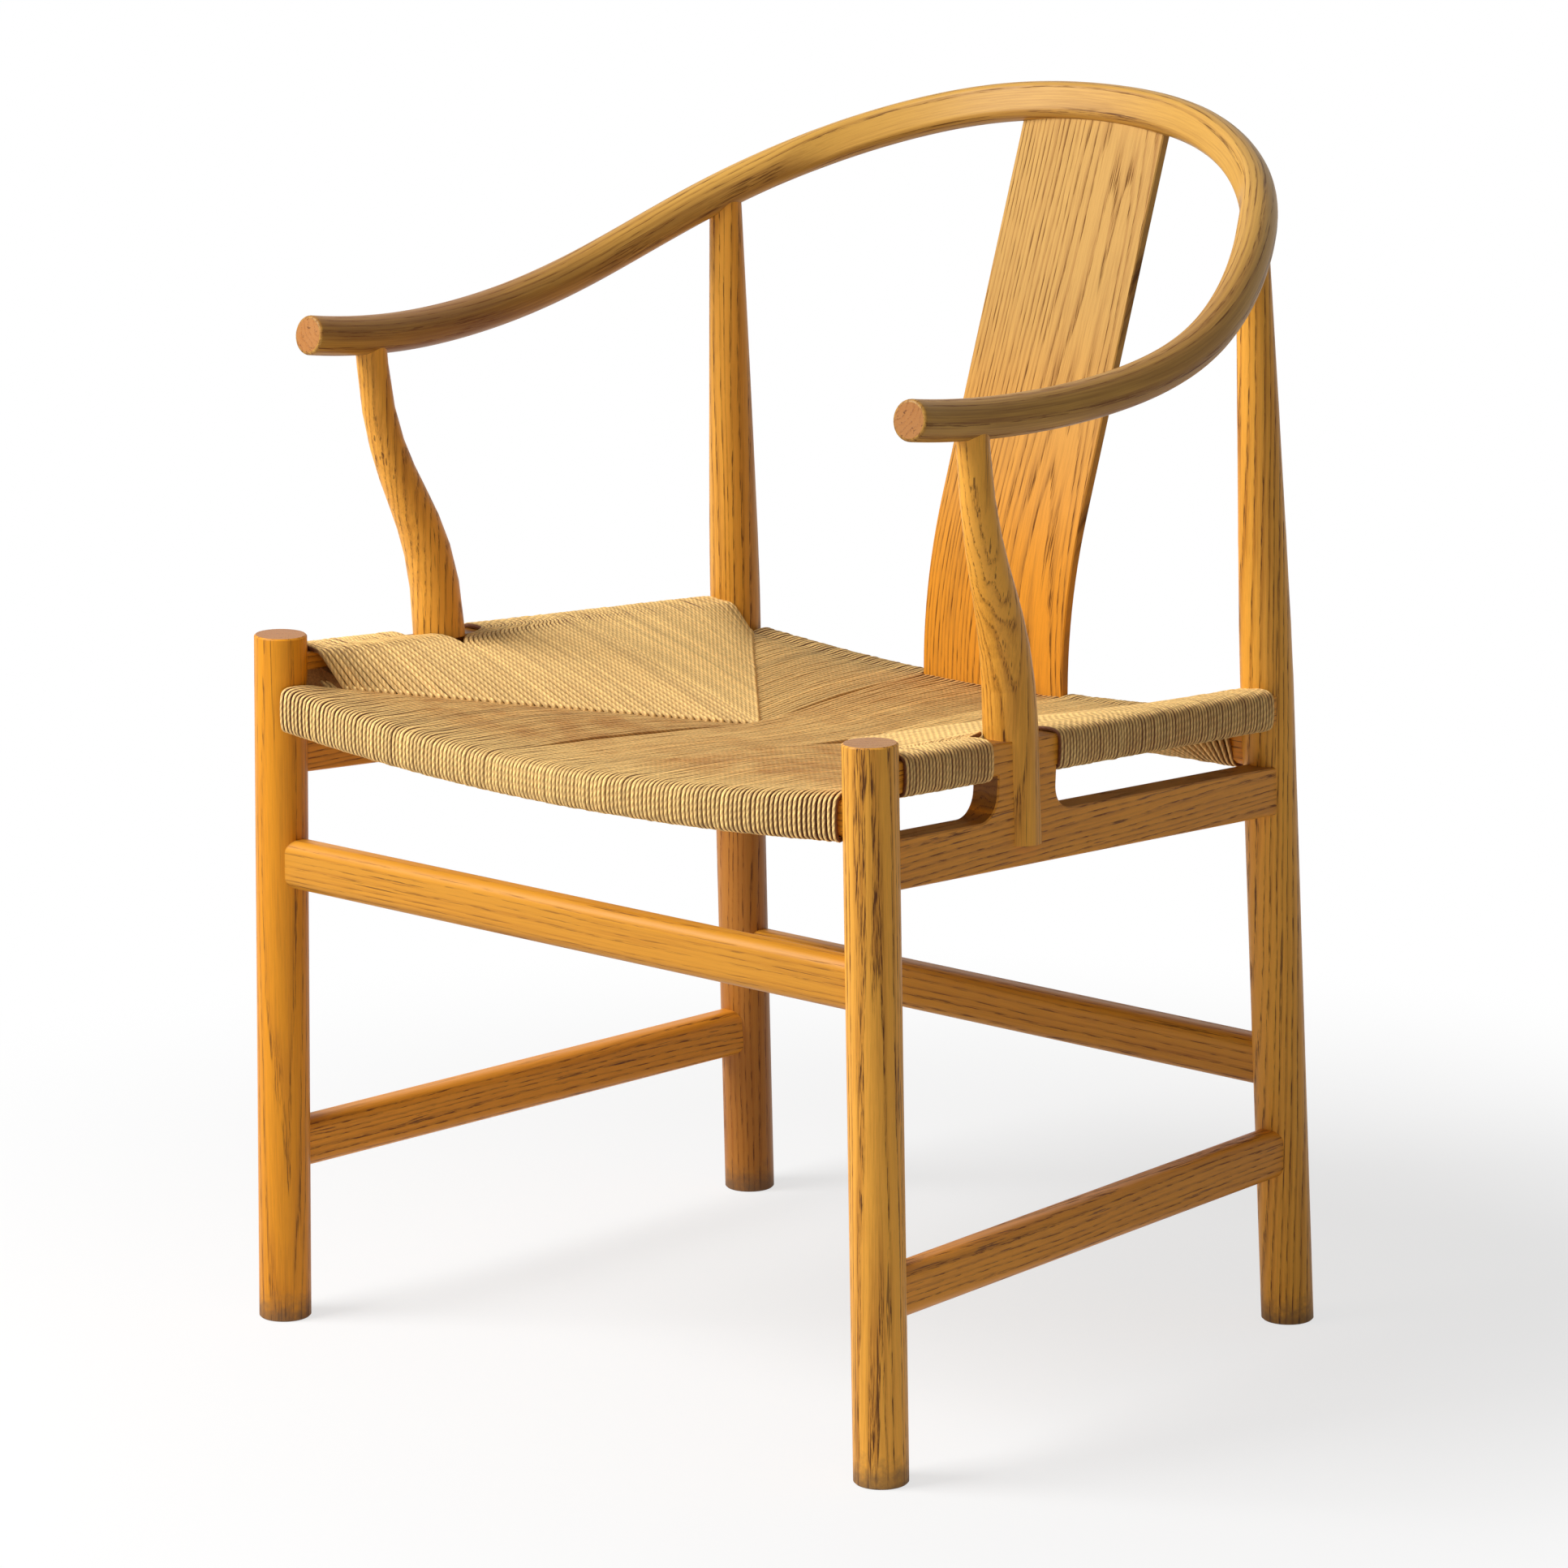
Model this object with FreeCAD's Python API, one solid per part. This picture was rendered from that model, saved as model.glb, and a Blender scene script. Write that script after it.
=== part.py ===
import FreeCAD, Part
import math
import os

from FreeCAD import Vector

# Horseshoe back armchair with a woven cord seat, in millimetres.
# The chair stands on the floor at z = 0 and faces -Y. The sitter's left side is +X.
# The origin is on the floor, in the middle of the chair's width and depth.
# Left pieces are modelled, and the right ones are their mirror images.

# Legs
leg_diameter = 34.0
leg_edge_cut = 1.0
front_leg_rise = 12.0  # above the apron's top edge
front_foot_spread = 518.0  # between the front legs' axes on the floor
front_top_spread = 501.0  # between the same axes at the legs' tops
rear_foot_spread = 474.0
foot_depth = 427.0  # from the front legs' axes to the rear legs' axes on the floor
rear_taper_start = 430.0  # height above which the rear legs grow thinner
rear_top_diameter = 21.0
rear_taper_pull_share = 0.15  # how far up the taper its curve stays in line with the leg
rear_taper_pieces = 4  # straight pieces that make up the curve
rear_leg_bow_share = 0.577  # where the leg meets the bow, from the arm's end to the back's middle

# Bow, the bent rail that makes the arms and the top of the back
bow_diameter = 25.5
bow_spread = 522.0  # greatest distance between the centre-lines of the two arms
bow_depth = 485.0  # from the arms' ends to the middle of the back
arm_setback = 32.0  # from the front legs' axes back to the arms' ends
arm_height = 637.5  # lowest point of the centre-line
back_height = 767.0  # highest point of the centre-line
bow_back_diameter = 26.0
bow_back_depth = 22.0  # across the flat in front
bow_back_corner = 4.0  # radius between the flat and the round
bow_end_radius = 2.0
bow_end_pieces = 3  # rings that make up the rounding
bow_flat_start_share = 0.60  # the flat grows between these places on the bow's half
bow_flat_end_share = 0.72
# Points of the centre-line from the arm's end to the back's middle: shares of the half spread,
# of the depth, and of the rise from the arms to the back
bow_point_shares = (
    (0.970, 0.000, 0.047),
    (1.000, 0.308, 0.000),
    (0.998, 0.543, 0.161),
    (0.868, 0.738, 0.492),
    (0.665, 0.877, 0.751),
    (0.346, 0.975, 0.946),
    (0.000, 1.000, 1.000),
)
bow_pieces = 56  # straight pieces that make up its curve

# Back splat
splat_width = 120.0
splat_thickness = 7.0
splat_edge_cut = 0.8
splat_foot_straight = 8.0  # upright stretch between the back rail and the bend
splat_bend_rise = 58.0  # from the bend's foot to where the two straight parts would meet
splat_foot_setback = 1.5  # behind the middle of the back rail
splat_foot_depth = 14.0  # in the back rail
splat_head_depth = 11.0  # in the bow

# Side aprons: boards with two slots that run up to the legs, and a block between them
apron_thickness = 20.0
apron_front_height = 365.0  # of the lower edge at the front leg's axis
apron_drop = 24.0  # fall of the lower edge to the rear leg's axis
apron_rear_shift = 2.5  # the board's middle passes this far outside the rear leg's axis
apron_front_shift = 1.0  # and this far inside the front leg's axis
apron_lower_bar = 31.0
apron_slot = 27.5
apron_top_bar = 19.5
apron_block_start = 107.5  # from the front leg's axis, along the lower edge
apron_block_length = 58.0
apron_slot_radius = 16.0
apron_edge_cut = 1.0

# Arm supports
support_foot_diameter = 34.0
support_top_diameter = 20.4
support_inset = 1.0  # the axis is this far inside the apron's middle plane
support_from_arm_end = 56.0  # along the bow
support_foot_lean = 6.0  # forwards, over the lower handle of the curve
support_top_lean = 10.0  # forwards, over the upper handle of the curve
support_handle_share = 0.5  # length of both handles in the support's rise
support_tongue_clear = 13.0  # from the apron's lower edge up to the tongue's end
support_tenon_width = 26.0
support_tenon_thickness = 8.0
support_tenon_depth = 30.0
# Loss of the radius at the four poles of the support's curve
support_taper_shares = (0.0, 0.25, 0.85, 1.0)
support_foot_straight = 4.0  # above the apron
support_top_straight = 20.0  # below the bow's centre-line
support_pieces = 8  # straight pieces that make up its curve

# Seat rails
rail_thickness = 21.0
rail_corner_cut = 3.0
front_rail_height = 24.0  # at the legs
front_rail_middle_height = 18.0
front_rail_dip = 10.0  # of the lower edge, at the middle
front_rail_bow = 12.0  # forwards, at the middle
front_rail_lift = 1.0  # above the middle of the apron's slot
back_rail_height = 30.5
back_rail_middle_height = 18.0
rail_pieces = 8  # straight pieces that make up a rail's curve

# Stretchers
stretcher_thickness = 21.0
stretcher_depth = 32.0
stretcher_corner_radius = 8.0
front_stretcher_height = 306.5  # of the stretcher's middle
back_stretcher_height = 173.0
side_stretcher_height = 115.5

# Joints
tenon_thickness = 10.0
tenon_shoulder = 4.0  # above and below a flat tenon
tenon_past_axis = 4.0
tenon_root = 6.0  # of the tenon inside its own bar
round_tenon_diameter = 14.0
round_tenon_past = 4.0  # past the bow's centre-line
joint_clearance = 0.1

# Woven seat
cord_diameter = 3.4
cord_clearance = 0.3  # between the cord and the wood
cord_corner_cut = 2.5
seat_centre_drop = 20.8  # below the front rail's middle line at its ends
seat_dish = 1.0  # dip of the centre below the ends of the seams
seam_thickness = 8.0  # of the two layers of cord where the fields meet
seat_front_corner_rise = 10.2  # above the front rail's middle line at its ends
seat_back_corner_rise = 18.2
seat_tuck = 1.0  # of the fields under the cord on the rails
seat_middle_share = 0.537  # of the seat's depth, between the ends of the seams
# The seams from the front corners over the middle to the back corners: shares of the seat's
# depth, of the half width between the rails' ends, and of the climb to that corner
seam_shares = (
    (0.000, 1.000, 1.000),
    (0.041, 1.000, 1.000),
    (0.282, 0.582, 0.500),
    (0.523, 0.163, 0.000),
    (0.551, 0.190, 0.000),
    (0.754, 0.580, 0.500),
    (0.957, 0.970, 1.000),
    (1.000, 0.970, 1.000),
)

# Length by which cutting shapes run past what they cut
overrun = 60.0

# Sizes worked out from those above
leg_radius = leg_diameter / 2
apron_height = apron_lower_bar + apron_slot + apron_top_bar
front_leg_height = apron_front_height + apron_height + front_leg_rise
front_reach = front_rail_bow + rail_thickness / 2 + cord_diameter
back_reach = arm_setback + bow_depth + bow_back_diameter / 2
front_y = (front_reach - back_reach) / 2
rear_foot_y = front_y + foot_depth
arm_end_y = front_y + arm_setback
up = Vector(0, 0, 1)


def single(shape):
    """The one solid of a finished piece, with its split faces joined."""
    return shape.removeSplitter().Solids[0]


def mirrored(shape):
    """The same piece on the chair's other side."""
    return shape.mirror(Vector(0, 0, 0), Vector(1, 0, 0))


def both_sides(shapes):
    return list(shapes) + [mirrored(shape) for shape in shapes]


def frame_along(origin, direction):
    """Placement with X along a direction and Z as upright as that allows."""
    sideways = up.cross(direction)
    return FreeCAD.Placement(origin, FreeCAD.Rotation(direction, sideways, up, "XYZ"))


def rounded_rectangle(centre, across, upright, width, height, radius):
    """Closed wire of a rectangle with round corners in the plane of two unit vectors."""
    half_w = width / 2
    half_h = height / 2
    slant = radius * (1 - math.sqrt(0.5))

    def at(u, v):
        return centre + across * u + upright * v

    edges = []
    for side in (1, -1):
        start = at(side * half_w, side * (radius - half_h))
        corner = at(side * half_w, side * (half_h - radius))
        middle = at(side * (half_w - slant), side * (half_h - slant))
        leave = at(side * (half_w - radius), side * half_h)
        turn = at(side * (radius - half_w), side * half_h)
        second = at(side * (slant - half_w), side * (half_h - slant))
        end = at(-side * half_w, side * (half_h - radius))
        edges.append(Part.makeLine(start, corner))
        edges.append(Part.Arc(corner, middle, leave).toShape())
        edges.append(Part.makeLine(leave, turn))
        edges.append(Part.Arc(turn, second, end).toShape())
    return Part.Wire(edges)


# Bow's centre-line


def bow_centre_line():
    """Smooth line from the left arm's end round the back to the right arm's end."""
    left = []
    for across, back, rise in bow_point_shares:
        z = arm_height + (back_height - arm_height) * rise
        left.append(Vector(bow_spread / 2 * across, arm_end_y + bow_depth * back, z))
    right = [Vector(-point.x, point.y, point.z) for point in reversed(left[:-1])]
    curve = Part.BSplineCurve()
    curve.interpolate(left + right)
    return curve.toShape()


bow_line = bow_centre_line()


def bow_point(length):
    """Point of the bow's centre-line at a length from the left arm's end."""
    return bow_line.valueAt(bow_line.getParameterByLength(length))


# Axes of the legs and the apron


def front_axis(height):
    """Point of the left front leg's axis."""
    lean = (front_foot_spread - front_top_spread) / 2 * height / front_leg_height
    return Vector(front_foot_spread / 2 - lean, front_y, height)


rear_foot = Vector(rear_foot_spread / 2, rear_foot_y, 0)
rear_top = bow_point(bow_line.Length / 2 * rear_leg_bow_share)
rear_direction = (rear_top - rear_foot).normalize()


def rear_axis(height):
    """Point of the left rear leg's axis, which ends on the bow's centre-line."""
    return rear_foot + (rear_top - rear_foot) * (height / rear_top.z)


apron_start = front_axis(apron_front_height) - Vector(apron_front_shift, 0, 0)
apron_end = rear_axis(apron_front_height - apron_drop) + Vector(apron_rear_shift, 0, 0)
apron_run = (apron_end - apron_start).Length
apron_direction = (apron_end - apron_start).normalize()
apron_frame = frame_along(apron_start, apron_direction)


def apron_point(along, inwards, height):
    """Point in the left apron's own frame: along it, towards the chair's middle, and up."""
    return apron_frame.multVec(Vector(along, inwards, height))


def apron_box(along, length, inwards, width, low, height):
    """Box in the left apron's own frame."""
    box = Part.makeBox(length, width, height, Vector(along, inwards, low))
    box.Placement = apron_frame
    return box


# Flat tenons


def tenon(point, direction, height, grow=0):
    """Tenon round a bar's middle line, from past a leg's axis to a little inside the bar."""
    length = tenon_past_axis + leg_radius + tenon_root + grow
    low = Vector(-tenon_past_axis - grow, -tenon_thickness / 2 - grow, -height / 2 - grow)
    block = Part.makeBox(length, tenon_thickness + 2 * grow, height + 2 * grow, low)
    block.Placement = frame_along(point, direction)
    return block


def bar_tenons(start, end, height, grow=0):
    """The tenons at both ends of a bar between two legs' axes."""
    direction = (end - start).normalize()
    return [tenon(start, direction, height, grow), tenon(end, -direction, height, grow)]


def opposite(point):
    return Vector(-point.x, point.y, point.z)


# Middle lines of the bars at the axes of the legs that hold them
slot_middle = apron_lower_bar + apron_slot / 2
front_rail_end = front_axis(apron_front_height + slot_middle + front_rail_lift)
back_rail_end = rear_axis(apron_front_height - apron_drop + slot_middle)
front_stretcher_end = front_axis(front_stretcher_height)
back_stretcher_end = rear_axis(back_stretcher_height)
side_stretcher_front = front_axis(side_stretcher_height)
side_stretcher_back = rear_axis(side_stretcher_height)
lower_bar_middle = apron_lower_bar / 2
top_bar_middle = apron_height - apron_top_bar / 2


def apron_tenons(grow=0):
    """Tenons of the left apron: one for each bar at each leg."""
    tenons = []
    for middle, bar in ((lower_bar_middle, apron_lower_bar), (top_bar_middle, apron_top_bar)):
        start = apron_point(0, 0, middle)
        end = apron_point(apron_run, 0, middle)
        tenons += bar_tenons(start, end, bar - 2 * tenon_shoulder, grow)
    return tenons


def front_rail_tenons(grow=0):
    height = front_rail_height - 2 * tenon_shoulder
    return bar_tenons(front_rail_end, opposite(front_rail_end), height, grow)


def back_rail_tenons(grow=0):
    height = back_rail_height - 2 * tenon_shoulder
    return bar_tenons(back_rail_end, opposite(back_rail_end), height, grow)


def stretcher_tenons(start, end, grow=0):
    return bar_tenons(start, end, stretcher_depth - 2 * tenon_shoulder, grow)


# Legs


def flat_footed(leg):
    """A leg cut level with the floor, with its edge broken there."""
    box = leg.BoundBox
    low = Vector(box.XMin - overrun, box.YMin - overrun, -2 * overrun)
    floor = Part.makeBox(box.XLength + 2 * overrun, box.YLength + 2 * overrun, 2 * overrun, low)
    leg = leg.cut(floor)
    foot = [edge for edge in leg.Edges if edge.BoundBox.ZMax < leg_edge_cut]
    return leg.makeChamfer(leg_edge_cut, foot)


def ring_loft(rings):
    """Round body through circles, each given by its centre, its direction and its radius."""
    return Part.makeLoft([Part.Wire(Part.Circle(*ring).toShape()) for ring in rings], True, True)


def front_leg_round(grow=0):
    """Left front leg without its mortises."""
    foot = front_axis(0)
    direction = (front_axis(front_leg_height) - foot).normalize()
    start = foot - direction * overrun
    length = front_leg_height + overrun
    return Part.makeCylinder(leg_radius + grow, length, start, direction)


def front_leg():
    leg = flat_footed(front_leg_round())
    top = [edge for edge in leg.Edges if edge.BoundBox.ZMin > front_leg_height / 2]
    leg = leg.makeChamfer(leg_edge_cut, top)
    mortises = apron_tenons(joint_clearance) + front_rail_tenons(joint_clearance)
    mortises += stretcher_tenons(front_stretcher_end, opposite(front_stretcher_end), joint_clearance)
    mortises += stretcher_tenons(side_stretcher_front, side_stretcher_back, joint_clearance)
    return single(leg.cut(mortises))


def rear_leg_round(grow=0):
    """Left rear leg without its mortises, up to the bow's centre-line."""
    length = (rear_top - rear_foot).Length
    taper = length * rear_taper_start / rear_top.z
    pull = taper + (length - taper) * rear_taper_pull_share
    radius = leg_radius + grow
    top_radius = rear_top_diameter / 2 + grow
    curve = Part.BezierCurve()
    curve.setPoles([Vector(radius, 0, taper), Vector(radius, 0, pull), Vector(top_radius, 0, length)])
    rings = []
    for index in range(rear_taper_pieces + 1):
        point = curve.value(index / rear_taper_pieces)
        rings.append((rear_foot + rear_direction * point.z, rear_direction, point.x))
    start = rear_foot - rear_direction * overrun
    straight = Part.makeCylinder(radius, taper + overrun, start, rear_direction)
    return straight.fuse(ring_loft(rings))


def round_tenon(point, direction, grow=0):
    """Round tenon that ends past the bow's centre-line, along a post's direction."""
    length = bow_diameter + round_tenon_past + grow
    start = point - direction * bow_diameter
    return Part.makeCylinder(round_tenon_diameter / 2 + grow, length, start, direction)


def rear_leg(bow):
    leg = flat_footed(rear_leg_round())
    leg = leg.cut(bow).fuse(round_tenon(rear_top, rear_direction))
    mortises = apron_tenons(joint_clearance) + back_rail_tenons(joint_clearance)
    mortises += stretcher_tenons(back_stretcher_end, opposite(back_stretcher_end), joint_clearance)
    mortises += stretcher_tenons(side_stretcher_front, side_stretcher_back, joint_clearance)
    return single(leg.cut(mortises))


# Bow


def bow_section(share, shrink=0):
    """Outline across the bow: round on the arms, with a flat in front at the back."""
    parameter = bow_line.getParameterByLength(bow_line.Length / 2 * share)
    centre = bow_line.valueAt(parameter)
    along = bow_line.tangentAt(parameter)
    ramp = (min(share, 2 - share) - bow_flat_start_share) / (bow_flat_end_share - bow_flat_start_share)
    ramp = min(max(ramp, 0), 1)
    ramp = ramp * ramp * (3 - 2 * ramp)
    inward = up.cross(along).normalize()
    upward = along.cross(inward).normalize()
    lean = splat_lean() * ramp
    front = inward * math.cos(lean) + upward * math.sin(lean)
    upright = upward * math.cos(lean) - inward * math.sin(lean)
    radius = (bow_diameter + (bow_back_diameter - bow_diameter) * ramp) / 2 - shrink

    # The full flat: where it ends, and where its corners run into the round
    back_radius = bow_back_diameter / 2
    reach = bow_back_depth - back_radius
    offset = reach - bow_back_corner
    flat_half = math.sqrt((back_radius - bow_back_corner) ** 2 - offset**2)
    corner_turn = math.atan2(flat_half, offset)
    flat_turn = math.asin(flat_half / back_radius)

    def at(u, v):
        return centre + front * u + upright * v

    def on_round(angle):
        return at(radius * math.cos(angle), radius * math.sin(angle))

    def blended(angle, u, v):
        return on_round(angle) * (1 - ramp) + at(u, v) * ramp

    def corner_middle(side):
        u = offset + bow_back_corner * math.cos(corner_turn / 2)
        v = flat_half + bow_back_corner * math.sin(corner_turn / 2)
        return blended(side * (flat_turn + corner_turn) / 2, u, side * v)

    low = blended(-flat_turn, reach, -flat_half)
    high = blended(flat_turn, reach, flat_half)
    if ramp < 1:
        face = Part.Arc(low, blended(0, reach, 0), high).toShape()
    else:
        face = Part.makeLine(low, high)
    behind = at(-radius, 0)
    side_turn = (corner_turn + math.pi) / 2
    edges = [
        face,
        Part.Arc(high, corner_middle(1), on_round(corner_turn)).toShape(),
        Part.Arc(on_round(corner_turn), on_round(side_turn), behind).toShape(),
        Part.Arc(behind, on_round(-side_turn), on_round(-corner_turn)).toShape(),
        Part.Arc(on_round(-corner_turn), corner_middle(-1), low).toShape(),
    ]
    return Part.Wire(edges)


def bow_round():
    """The bow without its holes and its groove."""
    end_share = 2 * bow_end_radius / bow_line.Length
    rounding = []
    for index in range(bow_end_pieces):
        angle = math.pi / 2 * index / bow_end_pieces
        rounding.append((end_share * (1 - math.cos(angle)), bow_end_radius * (1 - math.sin(angle))))
    places = list(rounding)
    for index in range(bow_pieces + 1):
        places.append((end_share + (2 - 2 * end_share) * index / bow_pieces, 0))
    places += [(2 - share, shrink) for share, shrink in reversed(rounding)]
    return Part.makeLoft([bow_section(*place) for place in places], True, True)


def arm_bow(bow):
    posts = [
        round_tenon(rear_top, rear_direction, joint_clearance),
        round_tenon(support_top, support_top_direction(), joint_clearance),
    ]
    return single(bow.cut(both_sides(posts) + [splat_board(joint_clearance)]))


# Back splat

back_rail_middle_top = back_rail_end.z - back_rail_height / 2 + back_rail_middle_height
splat_foot = Vector(0, back_rail_end.y + splat_foot_setback, back_rail_middle_top)
splat_bend_foot = splat_foot + Vector(0, 0, splat_foot_straight)
bow_middle = bow_point(bow_line.Length / 2)


def splat_lean():
    """Angle of the splat's straight upper part, which is aimed at the bow."""
    depth = bow_middle.y - splat_bend_foot.y
    return math.atan2(depth, bow_middle.z - splat_bend_foot.z - splat_bend_rise)


def splat_board(grow=0):
    """The splat's board with square edges, seen from the side and drawn out across the back."""
    lean = splat_lean()
    bend_radius = splat_bend_rise / math.tan(lean / 2)
    centre = splat_bend_foot + Vector(0, bend_radius, 0)
    stop = bow_back_diameter / 2 - splat_head_depth - grow
    head = bow_middle - Vector(0, math.sin(lean), math.cos(lean)) * stop
    bottom = splat_foot.z - splat_foot_depth - grow
    half = splat_thickness / 2 + grow

    def on_bend(angle, side):
        radius = bend_radius + side * half
        return centre + Vector(0, -math.cos(angle), math.sin(angle)) * radius

    def face_edges(side):
        foot = Vector(0, splat_foot.y - side * half, bottom)
        top = head + Vector(0, -math.cos(lean), math.sin(lean)) * (side * half)
        bend = Part.Arc(on_bend(0, side), on_bend(lean / 2, side), on_bend(lean, side))
        lower = Part.makeLine(foot, on_bend(0, side))
        upper = Part.makeLine(on_bend(lean, side), top)
        return foot, top, [lower, bend.toShape(), upper]

    front_foot, front_head, front = face_edges(1)
    back_foot, back_head, back = face_edges(-1)
    ends = [Part.makeLine(front_head, back_head), Part.makeLine(back_foot, front_foot)]
    outline = Part.Wire(Part.__sortEdges__(front + back + ends))
    width = splat_width + 2 * grow
    board = Part.Face(outline).extrude(Vector(width, 0, 0))
    board.translate(Vector(-width / 2, 0, 0))
    return board


def back_splat():
    board = splat_board()
    broken = []
    for edge in board.Edges:
        upright = edge.BoundBox.ZLength > splat_thickness
        if upright and abs(abs(edge.BoundBox.Center.x) - splat_width / 2) < splat_edge_cut:
            broken.append(edge)
    return single(board.makeChamfer(splat_edge_cut, broken))


# Side aprons


def side_apron():
    """Left apron: its board with the slots, shaped to the legs, and its tenons."""
    front = apron_block_start
    back = apron_block_start + apron_block_length
    slot_low = apron_lower_bar
    slot_high = apron_lower_bar + apron_slot
    bend = apron_slot_radius
    cut = bend * (1 - math.sqrt(0.5))

    def at(along, height):
        return Vector(along, -apron_thickness / 2, height)

    def line(a, b):
        return Part.makeLine(at(*a), at(*b))

    def arc(a, b, c):
        return Part.Arc(at(*a), at(*b), at(*c)).toShape()

    outline = [
        line((0, 0), (apron_run, 0)),
        line((apron_run, 0), (apron_run, slot_low)),
        line((apron_run, slot_low), (back + bend, slot_low)),
        arc((back + bend, slot_low), (back + cut, slot_low + cut), (back, slot_low + bend)),
        line((back, slot_low + bend), (back, slot_high)),
        line((back, slot_high), (apron_run, slot_high)),
        line((apron_run, slot_high), (apron_run, apron_height)),
        line((apron_run, apron_height), (0, apron_height)),
        line((0, apron_height), (0, slot_high)),
        line((0, slot_high), (front, slot_high)),
        line((front, slot_high), (front, slot_low + bend)),
        arc((front, slot_low + bend), (front - cut, slot_low + cut), (front - bend, slot_low)),
        line((front - bend, slot_low), (0, slot_low)),
        line((0, slot_low), (0, 0)),
    ]
    board = Part.Face(Part.Wire(outline)).extrude(Vector(0, apron_thickness, 0))
    long_edges = [edge for edge in board.Edges if edge.BoundBox.XLength > apron_block_length]
    board = board.makeChamfer(apron_edge_cut, long_edges)
    board.Placement = apron_frame
    board = board.cut([front_leg_round(), rear_leg_round()])
    board = board.fuse(apron_tenons())
    return single(board.cut(support_tenon(joint_clearance)))


# Arm supports

support_top = bow_point(support_from_arm_end)
support_centre = apron_point(
    apron_block_start + apron_block_length / 2, support_inset, apron_height / 2
)
support_handle = (support_top.z - support_centre.z) * support_handle_share
foot_handle = Vector(0, -support_foot_lean, support_handle)
foot_direction = Vector(foot_handle).normalize()


def support_base():
    """Point where the support's axis passes the top of the apron's block."""
    board_up = apron_frame.Rotation.multVec(up)
    return support_centre + foot_direction * (apron_height / 2 / foot_direction.dot(board_up))


def support_top_direction():
    handle = (support_top.z - support_base().z) * support_handle_share
    return Vector(0, -support_top_lean, handle).normalize()


def support_curve():
    """Axis of the support between its straight ends: a curve with a handle at each end."""
    start = support_base() + foot_direction * support_foot_straight
    end = support_top - support_top_direction() * support_top_straight
    handle = (end.z - start.z) * support_handle_share
    curve = Part.BezierCurve()
    poles = [start, start + foot_direction * handle, end - support_top_direction() * handle, end]
    curve.setPoles(poles)
    return curve


def support_tenon(grow=0):
    """Flat tenon under the support, in the apron's block."""
    base = apron_frame.inverse().multVec(support_base())
    along = base.x - support_tenon_width / 2 - grow
    width = support_tenon_thickness + 2 * grow
    low = apron_height - support_tenon_depth - grow
    height = support_tenon_depth + grow + tenon_root
    return apron_box(along, support_tenon_width + 2 * grow, -width / 2, width, low, height)


def support_swell():
    """The support's round body between its straight ends."""
    curve = support_curve()
    gain = (support_foot_diameter - support_top_diameter) / 2
    rings = []
    for index in range(support_pieces + 1):
        t = index / support_pieces
        weights = ((1 - t) ** 3, 3 * t * (1 - t) ** 2, 3 * t**2 * (1 - t), t**3)
        loss = sum(weight * share for weight, share in zip(weights, support_taper_shares))
        radius = support_foot_diameter / 2 - gain * loss
        rings.append((curve.value(t), curve.tangent(t)[0], radius))
    return ring_loft(rings)


def support_foot_round(grow=0, above=support_foot_straight):
    """The support's straight round foot, down past the tongue's end."""
    below = apron_height + overrun
    start = support_base() - foot_direction * below
    return Part.makeCylinder(support_foot_diameter / 2 + grow, below + above, start, foot_direction)


def support_head_round():
    """The support's straight round head, up to the bow's centre-line."""
    direction = support_top_direction()
    start = support_top - direction * support_top_straight
    return Part.makeCylinder(support_top_diameter / 2, support_top_straight, start, direction)


def arm_support(bow):
    """Left support: its body, a tongue down the apron's outer face, and two tenons."""
    reach = 2 * overrun
    along = apron_block_start + apron_block_length / 2 - overrun
    below = apron_box(along, reach, -overrun, reach, -reach, reach + support_tongue_clear)
    board = apron_box(along, reach, -apron_thickness / 2, reach, -reach, reach + apron_height)
    body = support_swell().fuse([support_foot_round(), support_head_round()])
    body = body.cut([below, board, bow])
    body = body.fuse([round_tenon(support_top, support_top_direction()), support_tenon()])
    return single(body)


# Seat rails


def rail_outline(centre, height, grow):
    """Outline across a rail: a rectangle with broken corners."""
    half_w = rail_thickness / 2 + grow
    half_h = height / 2 + grow
    cut = rail_corner_cut + grow * (2 - math.sqrt(2))
    points = []
    for across, upright in ((1, 1), (-1, 1), (-1, -1), (1, -1)):
        ends = [
            centre + Vector(0, across * half_w, upright * (half_h - cut)),
            centre + Vector(0, across * (half_w - cut), upright * half_h),
        ]
        points += ends if across == upright else reversed(ends)
    return Part.makePolygon(points + points[:1])


def curved_rail(end, heights, dip, bow, grow=0):
    """Rail between two legs' axes, with edges that sink and a middle that bows forwards."""
    end_height, middle_height = heights
    sections = []
    for index in range(rail_pieces + 1):
        share = 2 * index / rail_pieces - 1
        middle = 1 - share**2
        height = end_height - (end_height - middle_height) * middle
        low = end.z - end_height / 2 - dip * middle
        centre = Vector(end.x * share, end.y - bow * middle, low + height / 2)
        sections.append(rail_outline(centre, height, grow))
    return Part.makeLoft(sections, True, True)


def front_rail_round(grow=0):
    heights = (front_rail_height, front_rail_middle_height)
    return curved_rail(front_rail_end, heights, front_rail_dip, front_rail_bow, grow)


def back_rail_round(grow=0):
    heights = (back_rail_height, back_rail_middle_height)
    return curved_rail(back_rail_end, heights, 0, 0, grow)


def front_seat_rail():
    rail = front_rail_round().cut(both_sides([front_leg_round()]))
    return single(rail.fuse(front_rail_tenons()))


def back_seat_rail():
    rail = back_rail_round().cut(both_sides([rear_leg_round()]))
    return single(rail.fuse(back_rail_tenons()).cut(splat_board(joint_clearance)))


# Stretchers


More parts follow.
